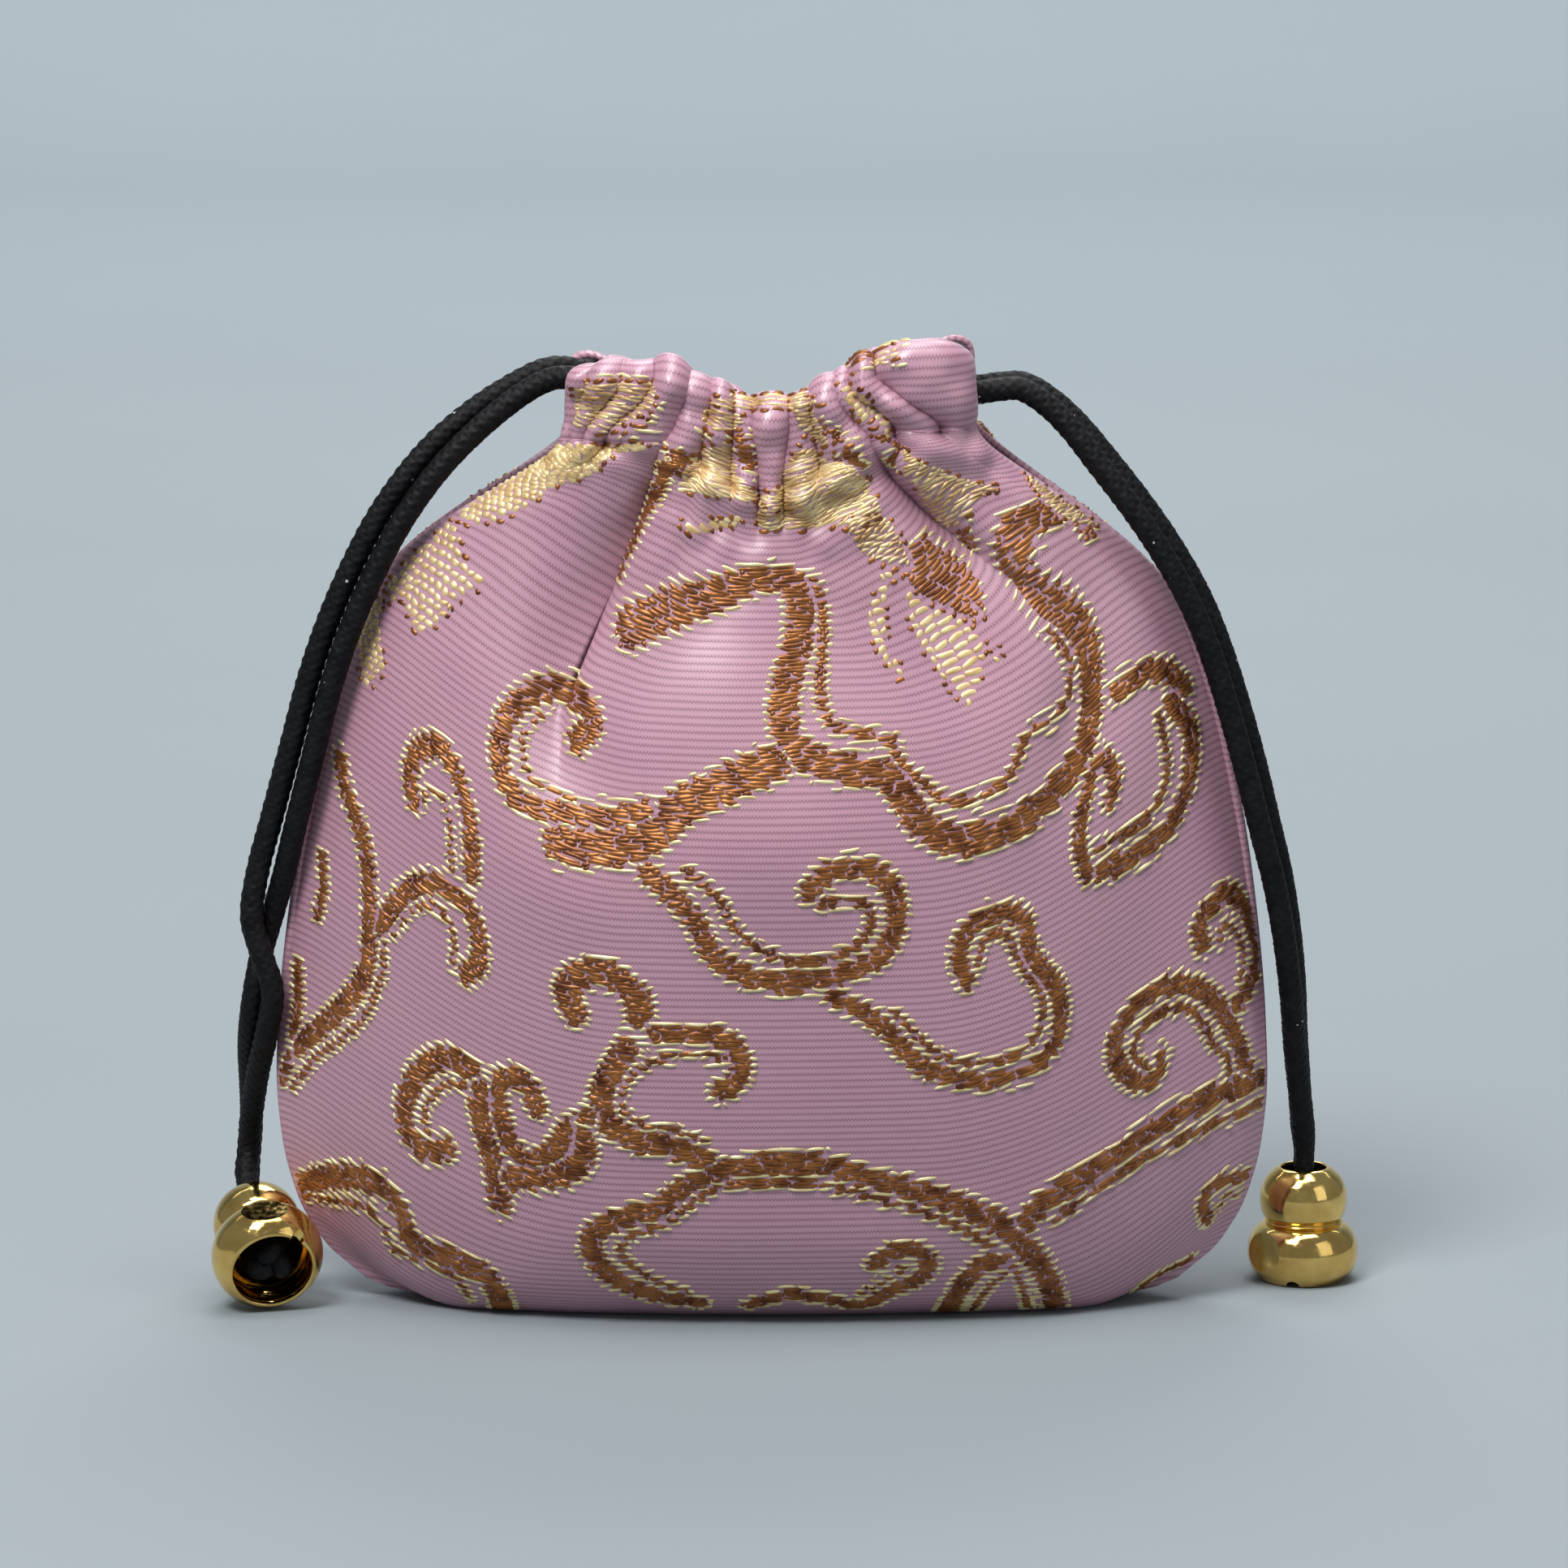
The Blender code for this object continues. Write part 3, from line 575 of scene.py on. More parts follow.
@dataclass(frozen=True)
class StudioPaper:
    """Matt grey-blue paper of the floor and the backdrop, with the lamps' falloff painted into its colour."""

    name: str = "studio_paper"
    colour: tuple = (0.447, 0.505, 0.540)
    # Painted light: shares of the paper's colour by depth, darker near the front and paler towards the
    # backdrop, standing in for the lamps' falloff
    painted_light_falloff: tuple = ((0.059, 0.555), (0.176, 0.572), (0.276, 0.60), (0.412, 0.664), (0.529, 0.807),
                      (0.647, 1.04), (0.765, 1.19), (0.94, 1.30))
    falloff_start: float = 0.2
    falloff_length: float = 1.7

    def make(self) -> bpy.types.Material:
        """Tint the paper with painted light: darker towards the front, paler towards the backdrop.

        Returns:
            The material.
        """
        sheet = NodeSheet(self.name)
        place = sheet.place()
        deep = sheet.add("ShaderNodeSeparateXYZ", {0: place}).outputs["Y"]
        near_end = self.falloff_start / self.falloff_length
        far = sheet.math("MULTIPLY_ADD", deep, 1 / self.falloff_length, near_end)
        # Painted light: the paper's colour scaled by depth to stand in for the lamps' falloff
        painted_light_tones = [(part, tuple(value * share for value in self.colour)) for part, share in self.painted_light_falloff]
        grain = sheet.ramp(sheet.noise(place, 12.0, 2.0), [(0.3, (0.985,) * 3), (0.7, WHITE)])
        sheet.colour(sheet.mix(1.0, sheet.ramp(far, painted_light_tones), grain, "MULTIPLY"))
        sheet.set(Roughness=0.9, Specular_IOR_Level=0.15)
        return sheet.material


@dataclass(frozen=True)
class Gathers:
    """Valleys that the drawstring pulls into a panel, from the left seam to the right one."""

    top: tuple
    neck: tuple
    low: tuple
    reach: tuple
    extra: tuple
    spread: tuple
    full: tuple
    lean: tuple

    def places(self, height: np.ndarray, stitch: float) -> np.ndarray:
        """Spread the valleys across the body rows.

        Args:
            height: Flat heights of the rows, in millimetres.
            stitch: Flat height of the stitch line.

        Returns:
            The places of the valleys in each row, from -1 to 1.
        """
        part = smooth_step((stitch - height)[:, None] / np.array(self.spread))
        neck, low = np.array(self.neck), np.array(self.low)
        return neck + (low - neck) * part

    def hem_places(self, part: np.ndarray) -> np.ndarray:
        """Return the valley places across hem rows, from the stitch line (0) to the top edge (1)."""
        neck, top = np.array(self.neck), np.array(self.top)
        return neck + (top - neck) * smooth_step(part)[:, None]


FRONT_GATHERS = Gathers(
    top=(-1, -0.88, -0.76, -0.60, -0.42, -0.31, -0.20, -0.10, 0.09, 0.20, 0.31, 0.40, 0.52, 1),
    neck=(-1, -0.94, -0.89, -0.83, -0.495, -0.36, -0.21, -0.07, 0.05, 0.24, 0.465, 0.62, 0.82, 1),
    low=(-1, -0.92, -0.88, -0.80, -0.42, -0.30, -0.18, -0.06, 0.05, 0.22, 0.68, 0.80, 0.90, 1),
    reach=(26, 8, 8, 12, 42, 6, 7, 9, 9, 6, 30, 10, 10, 26),
    extra=(0, 0, 0, 0.6, 4.6, 0, 0, 1.4, 1.4, 0, 4.4, 0.6, 0.6, 0),
    spread=(38, 38, 38, 38, 38, 38, 38, 38, 38, 38, 30, 30, 30, 38),
    full=(0.55, 0.7, 0.55, 1.1, 0.75, 0.95, 0.6, 1.0, 0.7, 1.05, 0.75, 1.0, 1.05),
    lean=(0, 0, 0, 0.2, -2.2, -0.2, 0.1, 0, 0.1, 2.2, 0.2, 0.3, 0))
BACK_GATHERS = Gathers(
    top=(-1, -0.86, -0.70, -0.54, -0.40, -0.27, -0.13, 0.02, 0.16, 0.31, 0.45, 0.60, 0.78, 1),
    neck=(-1, -0.88, -0.74, -0.57, -0.41, -0.26, -0.12, 0.02, 0.17, 0.33, 0.49, 0.64, 0.82, 1),
    low=(-1, -0.90, -0.78, -0.60, -0.36, -0.24, -0.10, 0.04, 0.16, 0.34, 0.52, 0.68, 0.84, 1),
    reach=(26, 8, 14, 24, 10, 34, 12, 18, 8, 38, 12, 26, 9, 26),
    extra=(0, 0, 0.5, 1.6, 0, 2.6, 0, 1.4, 0, 3.2, 0, 1.8, 0, 0),
    spread=(38,) * 14,
    full=(0.7, 0.9, 0.8, 0.9, 0.8, 1.0, 0.9, 0.75, 0.95, 0.85, 1.0, 0.8, 0.7),
    lean=(0, 0.2, -0.3, 0.4, 0, -0.5, 0.3, 0, 0.4, -0.3, 0.3, 0, 0))


@dataclass(frozen=True)
class SoftPress:
    """A soft bump or dent of the filled cloth, in millimetres: place, size and how far it stands out."""

    across: float
    height: float
    wide: float
    tall: float
    out: float


FRONT_PRESSES = (
    SoftPress(33.0, 74.0, 4.5, 9.0, -1.2),
    SoftPress(-20.5, 76.0, 5.0, 8.0, -1.4),
    SoftPress(-18.0, 90.0, 4.2, 7.5, -1.2),
    SoftPress(21.0, 92.0, 4.0, 6.5, -1.1),
    SoftPress(-23.0, 62.0, 8.0, 8.0, 1.0),
    SoftPress(0.0, 67.0, 12.0, 9.0, 1.3),
    SoftPress(-6.0, 84.0, 7.0, 7.0, 0.9),
    SoftPress(25.0, 72.0, 5.0, 9.0, 0.9),
    SoftPress(-36.0, 40.0, 5.0, 16.0, -0.5),
    SoftPress(38.0, 38.0, 5.0, 15.0, -0.5),
    SoftPress(14.0, 30.0, 12.0, 9.0, -0.4),
    SoftPress(0.5, 104.2, 8.5, 1.5, 1.0),
    SoftPress(0.5, 99.8, 8.0, 1.8, -0.7))
BACK_PRESSES = (
    SoftPress(-30.0, 70.0, 6.0, 10.0, -0.9),
    SoftPress(12.0, 62.0, 10.0, 10.0, 0.8),
    SoftPress(28.0, 76.0, 5.0, 8.0, -0.8),
    SoftPress(-8.0, 36.0, 12.0, 9.0, -0.5),
    SoftPress(34.0, 36.0, 6.0, 14.0, 0.5))


@dataclass
class PouchShape:
    """The filled pouch, in millimetres: seams, middle lines, neck ring and hem section.

    Stations of the seams and the middle line give the flat height, how far out they lie and their height
    above the floor. Stations of the hem give how far out and up they lie, and their share of the gathers
    and of the ruffle.
    """

    top: float = 108.0
    thickness: float = 0.8
    seam_left: tuple = ((0, 38.0, 0.4), (0.9, 42.2, 1.5), (2.7, 45.8, 4.0), (7.5, 49.8, 8.8),
                        (13, 51.9, 14.2), (20, 53.0, 21.2), (30, 52.9, 31.0), (42, 51.6, 43.0),
                        (54, 49.6, 54.8), (66, 46.9, 66.5), (76, 43.6, 75.9), (84, 40.1, 83.2),
                        (90, 36.8, 87.8), (96, 32.7, 91.2), (102, 27.4, 93.4), (108, 21.4, 94.6))
    seam_right: tuple = ((0, 38.0, 0.4), (0.9, 42.2, 1.5), (2.7, 45.8, 4.0), (7.5, 49.8, 8.8),
                         (13, 51.9, 14.2), (20, 53.0, 21.2), (30, 52.9, 31.0), (42, 51.8, 43.0),
                         (54, 50.0, 54.8), (66, 47.2, 66.5), (76, 43.5, 75.9), (84, 39.6, 83.2),
                         (90, 36.3, 88.1), (96, 32.4, 92.1), (102, 27.5, 94.9), (108, 21.4, 96.4))
    middle: tuple = ((0, 0.55, 0.4), (3.8, 4.3, 0.4), (7.5, 8.0, 0.4), (13, 12.4, 2.8), (20, 16.0, 8.2),
                     (30, 18.6, 17.8), (42, 19.9, 29.0), (54, 20.0, 40.5), (66, 19.0, 52.5), (76, 17.2, 62.5),
                     (84, 15.3, 70.3), (90, 13.9, 76.1), (96, 12.6, 81.9), (102, 11.3, 86.8),
                     (108, 10.2, 90.6))
    seam_depth: tuple = ((0, 0.48), (88, 0.48), (92, 0.9), (98, 2.0), (104, 3.1), (108, 3.6))
    hem: tuple = ((1.5, 0.0, 1.0, 0.0), (1.85, 1.1, 1.0, 0.0), (2.05, 2.5, 1.0, 0.0), (2.1, 4.6, 1.0, 0.0),
                  (2.05, 6.4, 1.0, 0.1), (1.5, 7.6, 0.95, 0.6), (0.1, 8.2, 0.8, 1.0), (-1.5, 7.6, 0.4, 0.6),
                  (-2.05, 6.4, 0.1, 0.0), (-2.05, 4.0, 0.0, 0.0), (-1.75, 1.55, 0.0, 0.0),
                  (-0.75, 0.2, 0.0, 0.0))
    hem_swell: float = 2.5
    hem_spread: float = 7.0
    lens_angle: float = math.radians(65)
    belly: float = 30.0
    shoulder: float = 78.0
    shoulder_length: float = 30.0
    neck_start: float = 76.0
    neck_length: float = 32.0
    lean_length: float = 44.0
    back_drop: float = 2.5
    back_drop_start: float = 84.0
    back_drop_length: float = 24.0
    neck_depth: float = 6.6
    neck_radius: float = 4.6
    neck_angle: float = math.radians(70)
    neck_width: float = 19.4
    stitch_out: float = 1.5
    gather: float = 2.5
    hem_gather: float = 2.4
    ruffle: float = 1.9
    crown: float = 0.1
    slope: float = 0.6
    crumple: float = 0.38
    crumple_start: float = 86.0
    crumple_length: float = 20.0
    calm_bottom: float = 12.0
    stitch_ridge: float = 0.22
    stitch_ridge_wide: float = 0.55

    def lens(self, share: np.ndarray, wide: np.ndarray, deep: np.ndarray, seam: np.ndarray) -> tuple:
        """Round the body rows into lens shapes, seen from above.

        Args:
            share: Places across the panel, from -1 at the left seam to 1 at the right one.
            wide: Half width of each row.
            deep: Depth of each row in its middle.
            seam: Depth of each row at its seams.

        Returns:
            The places and their outward directions.
        """
        angle = self.lens_angle * share
        base = math.cos(self.lens_angle)
        x = wide * np.sin(angle) / math.sin(self.lens_angle)
        y = -(seam + (deep - seam) * (np.cos(angle) - base) / (1 - base))
        slope_x = wide * np.cos(angle) / math.sin(self.lens_angle)
        slope_y = (deep - seam) * np.sin(angle) / (1 - base)
        length = np.hypot(slope_x, slope_y)
        return np.stack((x, y), -1), np.stack((slope_y / length, -slope_x / length), -1)

    def ring(self, share: np.ndarray) -> tuple:
        """Round the neck into its drawn-in ring, seen from above.

        Args:
            share: Places across the panel, from -1 to 1.

        Returns:
            The places and their outward directions.
        """
        straight = self.neck_width - self.neck_radius
        run = np.abs(share) * (straight + self.neck_radius * self.neck_angle)
        angle = np.clip((run - straight) / self.neck_radius, 0.0, None)
        sign = np.sign(share)
        x = sign * (np.minimum(run, straight) + self.neck_radius * np.sin(angle))
        y = -(self.neck_depth - self.neck_radius * (1 - np.cos(angle)))
        return np.stack((x, y), -1), np.stack((sign * np.sin(angle), -np.cos(angle)), -1)

    def half_width(self, share: np.ndarray, height: np.ndarray) -> np.ndarray:
        """Return the half width at each point, from the side that the point is on."""
        left, right = read_rows(self.seam_left, 1, height), read_rows(self.seam_right, 1, height)
        return np.where(share < 0, left, right)

    def level(self, share: np.ndarray, height: np.ndarray, face: Face) -> np.ndarray:
        """Find how high above the floor places on a panel lie.

        Args:
            share: Places across the panel, from -1 to 1.
            height: Their flat heights.
            face: The panel.

        Returns:
            The heights above the floor.
        """
        left, right = read_rows(self.seam_left, 2, height), read_rows(self.seam_right, 2, height)
        centre = read_rows(self.middle, 2, height)
        rise = smooth_step((height - self.shoulder) / self.shoulder_length)
        low = smooth_step(height / self.belly)
        inner = (0.62 * (1 - low) + 0.25 * low) * (1 - rise)
        outer = 1.0 - 0.35 * rise
        part = 1 - smooth_step((np.abs(share) - inner) / (outer - inner))
        edge = left * (1 - share) / 2 + right * (1 + share) / 2
        result = edge + part * (centre - (left + right) / 2)
        if face is Face.BACK:
            ends = smooth_step((np.abs(share) - 0.75) / 0.25)
            drop = smooth_step((height - self.back_drop_start) / self.back_drop_length)
            result = result - self.back_drop * drop * (1 - ends)
        return result


# Largest value of the curve by which a fold leans over, which scales its lean to millimetres
LEAN_PEAK = 0.105


@dataclass
class Panel:
    """One brocade panel of the pouch with its folded hem."""

    face: Face
    gathers: Gathers
    presses: tuple
    shape: PouchShape = field(default_factory=PouchShape)
    body_rows: int = 150
    hem_rows: int = 40
    steps: int = 14
    seed: int = 4
    calm_edge: float = 0.05

    def layout(self) -> None:
        """Work out the middle surface of the cloth and its flat coordinates, in millimetres."""
        shape = self.shape
        heights = np.linspace(0.0, shape.top, self.body_rows + 1)
        arches = len(self.gathers.neck) - 1
        arch = np.minimum(np.arange(arches * self.steps + 1) // self.steps, arches - 1)
        step = np.arange(arches * self.steps + 1) / self.steps - arch
        body = self.body_grid(heights, arch, step)
        hem, runs = self.hem_grid(arch, step)
        self.grid = np.concatenate((body, hem[1:]))
        self.grid[:, :, 1] += self.unevenness(heights, len(hem) - 1)
        self.height = np.concatenate((heights, shape.top + runs[1:]))
        if self.face is Face.BACK:
            self.grid[:, :, 1] *= -1
        rows = np.linalg.norm(np.diff(self.grid, axis=1), axis=2)
        run = np.concatenate((np.zeros((len(rows), 1)), np.cumsum(rows, axis=1)), axis=1)
        share = np.concatenate((self.share, self.hem_share[1:]))
        middle = np.array([np.interp(0.0, share[row], run[row]) for row in range(len(run))])
        self.across = run - middle[:, None]
        right = np.gradient(self.grid, axis=1)
        up = np.gradient(self.grid, axis=0)
        normal = np.cross(right, up)
        if self.face is Face.BACK:
            normal = -normal
        self.normal = normal / np.linalg.norm(normal, axis=2, keepdims=True)

    def body_grid(self, height: np.ndarray, arch: np.ndarray, step: np.ndarray) -> np.ndarray:
        """Shape the rows of the body, from the bottom fold to the stitch line.

        Args:
            height: Flat height of each row, in millimetres.
            arch: The arch between two valleys that each column lies in.
            step: How far across its arch each column lies, from 0 to 1.

        Returns:
            The places of every row and column.
        """
        shape, gathers = self.shape, self.gathers
        places = gathers.places(height, shape.top)
        share = places[:, arch] + (places[:, arch + 1] - places[:, arch]) * step
        self.share = share
        tall = np.repeat(height[:, None], share.shape[1], axis=1)
        deep, seam = read_rows(shape.middle, 1, tall), read_rows(shape.seam_depth, 1, tall)
        lens, lens_out = shape.lens(share, shape.half_width(share, tall), deep, seam)
        ring, ring_out = shape.ring(share)
        ring = ring + ring_out * (shape.stitch_out + shape.gather)
        blend = smooth_step((tall - shape.neck_start) / shape.neck_length)[..., None]
        flat = lens * (1 - blend) + ring * blend
        out = lens_out * (1 - blend) + ring_out * blend
        out = out / np.linalg.norm(out, axis=2, keepdims=True)
        flat = flat - out * self.valleys(height, arch, step)[..., None]
        flat[..., 0] += self.overhang(arch, step) * (1 - smooth_step((shape.top - tall) / shape.lean_length))
        return np.concatenate((flat, shape.level(share, tall, self.face)[..., None]), axis=2)

    def valleys(self, height: np.ndarray, arch: np.ndarray, step: np.ndarray) -> np.ndarray:
        """Press the gathers into the body: a sharp crease below the stitches that opens into a round hollow.

        Args:
            height: Flat height of each row, in millimetres.
            arch: The arch that each column lies in.
            step: How far across its arch each column lies.

        Returns:
            How far in each place is pressed.
        """
        fall = (self.shape.top - height)[:, None] / np.array(self.gathers.reach)
        extra = np.array(self.gathers.extra) * np.minimum(1.0, 4 * fall)
        depth = (1 - smooth_step(fall)) * (self.shape.gather + extra)
        sharp = np.clip(1.1 - 2.2 * fall, 0, 1)
        pressed = np.zeros((len(height), len(arch)))
        for side, gone in ((arch, step), (arch + 1, 1 - step)):
            crease, hollow = (1 - gone) ** 3.4, (1 - gone) ** 6 * (1 + 6 * gone)
            pressed += depth[:, side] * (crease * sharp[:, side] + hollow * (1 - sharp[:, side]))
        return pressed

    def overhang(self, arch: np.ndarray, step: np.ndarray) -> np.ndarray:
        """Lean the folds sideways over the valleys beside them.

        Args:
            arch: The arch that each column lies in.
            step: How far across its arch each column lies.

        Returns:
            How far each column moves sideways.
        """
        lean = np.array(self.gathers.lean, dtype=float)[arch]
        near = np.where(lean < 0, step, 1 - step)
        return lean * (near * (1 - near) ** 3) / LEAN_PEAK

    def hem_grid(self, arch: np.ndarray, step: np.ndarray) -> tuple:
        """Fold the hem down inside and ruffle its crest.

        Args:
            arch: The arch that each column lies in.
            step: How far across its arch each column lies.

        Returns:
            The places of every row and column, and how far each row lies beyond the stitch line.
        """
        shape = self.shape
        section = catmull(np.array(shape.hem), 12)
        runs = run_lengths(section[:, :2])
        places = np.linspace(0.0, runs[-1], self.hem_rows + 1)
        section = np.stack([np.interp(places, runs, column) for column in section.T], axis=1)
        valleys = self.gathers.hem_places(section[:, 1] / shape.hem_spread)
        share = valleys[:, arch] + (valleys[:, arch + 1] - valleys[:, arch]) * step
        self.hem_share = share
        ring, ring_out = shape.ring(share)
        round_top = 1 - (1 - step) ** 3 - step ** 3
        full = np.array(self.gathers.full)[arch]
        rise = smooth_step(section[:, 1, None] / shape.hem_swell)
        crest = shape.hem_gather * (1 - rise + rise * full[None, :])
        out = section[:, 0, None] + section[:, 2, None] * crest * round_top[None, :]
        flat = ring + ring_out * out[..., None]
        flat[..., 0] += self.overhang(arch, step)[None, :] * (0.35 + 0.65 * (1 - rise)) * section[:, 2, None]
        base = shape.level(share, np.full_like(share, shape.top), self.face)
        middle = 1 - smooth_step(np.abs(share) / 0.7)
        lift = shape.ruffle * (1.5 * full - 0.85)[None, :] * round_top[None, :] + shape.crown * middle
        lift = lift - shape.slope * smooth_step((np.abs(share) - 0.80) / 0.20)
        tall = base + section[:, 1, None] + section[:, 3, None] * lift
        return np.concatenate((flat, tall[..., None]), axis=2), places

    def unevenness(self, heights: np.ndarray, hem_rows: int) -> np.ndarray:
        """Add the soft waves, bumps, dents and fine crumples of the filled cloth.

        Args:
            heights: Flat heights of the body rows.
            hem_rows: Number of rows beyond the stitch line.

        Returns:
            How far each place moves towards the back.
        """
        shape = self.shape
        rows, columns = self.grid.shape[:2]
        rng = np.random.default_rng(self.seed + (11 if self.face is Face.BACK else 0))
        u = np.linspace(0, 1, columns)[None, :]
        v = np.linspace(0, 1, rows)[:, None]
        moved = self.waves(rng, u, v)
        tall = np.concatenate((heights, np.full(hem_rows, heights[-1])))[:, None]
        across = self.grid[:, :, 0]
        for press in self.presses:
            reach = ((across - press.across) / press.wide) ** 2 + ((tall - press.height) / press.tall) ** 2
            moved -= press.out * np.exp(-reach)
        on_body = (np.arange(rows) < len(heights))[:, None]
        ridge = np.exp(-((tall - heights[-1]) / shape.stitch_ridge_wide) ** 2)
        moved += shape.stitch_ridge * ridge * on_body
        low = smooth_step(tall / shape.calm_bottom)
        inner_hem = smooth_step((rows - 1 - np.arange(rows)) / (0.6 * hem_rows))[:, None]
        near_neck = smooth_step((tall - shape.crumple_start) / shape.crumple_length)
        moved += shape.crumple * self.crumples(rng, across, self.grid[:, :, 2]) * near_neck
        left, right = smooth_step(u / self.calm_edge), smooth_step((1 - u) / self.calm_edge)
        return moved * low * inner_hem * left * right

    def waves(self, rng: np.random.Generator, u: np.ndarray, v: np.ndarray) -> np.ndarray:
        """Draw the long soft waves of the cloth.

        Args:
            rng: Source of the random draws.
            u: Share of the way across.
            v: Share of the way up.

        Returns:
            The waves, in millimetres.
        """
        wave = np.zeros((v.shape[0], u.shape[1]))
        for scale in (2.0, 3.0, 5.0, 8.0):
            for _ in range(3):
                a, b = rng.uniform(-scale, scale, 2)
                wave += np.sin(2 * math.pi * (a * u + b * v) + rng.uniform(0, 6.28)) * 0.09 * (3.0 / scale)
        return wave

    def crumples(self, rng: np.random.Generator, across: np.ndarray, level: np.ndarray) -> np.ndarray:
        """Draw the fine crumples of the drawn-in cloth.

        Args:
            rng: Source of the random draws.
            across: Places to the side, in millimetres.
            level: Heights above the floor.

        Returns:
            The crumples, from about -1 to 1.
        """
        lengths = (2.6, 3.4, 4.8, 6.5)
        crumple = np.zeros_like(across)
        for length in lengths:
            for turn in rng.uniform(0, 2 * math.pi, 3):
                way = across * math.cos(turn) + level * math.sin(turn)
                crumple += np.sin(2 * math.pi * way / length + rng.uniform(0, 6.28)) * length / 17.3
        return crumple

    def locate(self, height: float, across: np.ndarray) -> tuple:
        """Find places on the cloth from their flat coordinates.

        Args:
            height: Flat height of one crosswise row, in millimetres.
            across: Distances from the middle line along that row.

        Returns:
            Points, directions along the row, and outward directions.
        """
        row = float(np.interp(height, self.height, np.arange(len(self.height))))
        low = min(int(row), len(self.height) - 2)
        part = row - low

        def blend(values: np.ndarray) -> np.ndarray:
            """Mix two neighbouring rows."""
            return values[low] * (1 - part) + values[low + 1] * part

        column = np.interp(across, blend(self.across), np.arange(self.across.shape[1]))
        left = np.minimum(column.astype(int), self.across.shape[1] - 2)
        share = (column - left)[:, None]
        grid, normal = blend(self.grid), blend(self.normal)
        point = grid[left] * (1 - share) + grid[left + 1] * share
        out = normal[left] * (1 - share) + normal[left + 1] * share
        along = grid[left + 1] - grid[left]
        along = along / np.linalg.norm(along, axis=1, keepdims=True)
        out = out / np.linalg.norm(out, axis=1, keepdims=True)
        return point, along, out

    def flat_point(self, place: Vector, cell: int) -> tuple:
        """Read the flat coordinates of a place in one cell of the grid.

        Args:
            place: A point on the panel, in metres.
            cell: Number of the cell that it lies in.

        Returns:
            Its place across and up the flat cloth, in millimetres.
        """
        columns = self.across.shape[1] - 1
        row, column = divmod(cell, columns)
        corner = self.grid[row, column]
        right = self.grid[row, column + 1] - corner
        up = self.grid[row + 1, column] - corner
        target = np.array(place) / MM - corner
        (a, b), *_ = np.linalg.lstsq(np.stack((right, up), 1), target, rcond=None)
        a, b = np.clip((a, b), 0.0, 1.0)
        flat = (self.across[row, column] * (1 - a) * (1 - b) + self.across[row, column + 1] * a * (1 - b)
                + self.across[row + 1, column] * (1 - a) * b + self.across[row + 1, column + 1] * a * b)
        return flat, self.height[row] * (1 - b) + self.height[row + 1] * b

    def build(self) -> bpy.types.Object:
        """Build the cloth.

        Returns:
            The piece.
        """
        tall = np.repeat(self.height[:, None], self.across.shape[1], axis=1)
        flat = np.stack((self.across, tall), -1) * MM
        name = f"{self.face.value}_brocade"
        self.piece = grid_mesh(self.grid * MM, name, flat)
        outward = sum((each.normal.y * each.area for each in self.piece.data.polygons), 0.0)
        if (outward > 0) == (self.face is Face.FRONT):
            self.piece.data.flip_normals()
        thick = self.piece.modifiers.new("cloth", "SOLIDIFY")
        thick.thickness = self.shape.thickness * MM
        thick.offset = 0.0
        return self.piece

    def dress(self, silk: SilkGround) -> None:
        """Give the cloth its silk and its place in the frame.

        Args:
            silk: Finish of the cloth.
        """
        self.piece.data.materials.append(silk.make())
        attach(self.piece, "pouch")
        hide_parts(f"{self.face.value}_panel")


@dataclass(frozen=True)
class SoftBox:
    """One soft light: place and size in metres, power in watts and the place that it looks at."""

    name: str
    place: tuple
    size: tuple
    power: float
    aim: tuple = (0.0, 0.0, 0.05)


SOFT_BOXES = (
    SoftBox("key", (-0.26, -0.46, 0.74), (0.28, 0.28), 6.4),
    SoftBox("fill", (0.60, -0.50, 0.34), (0.40, 0.60), 0.6),
    SoftBox("wash", (0.0, 0.60, 0.85), (1.8, 0.30), 5.0, (0.0, 1.35, 0.15)),
    SoftBox("top", (0.05, -0.10, 0.80), (0.50, 0.40), 4.2),
    SoftBox("back", (0.05, 0.52, 0.62), (0.5, 0.3), 2.6))


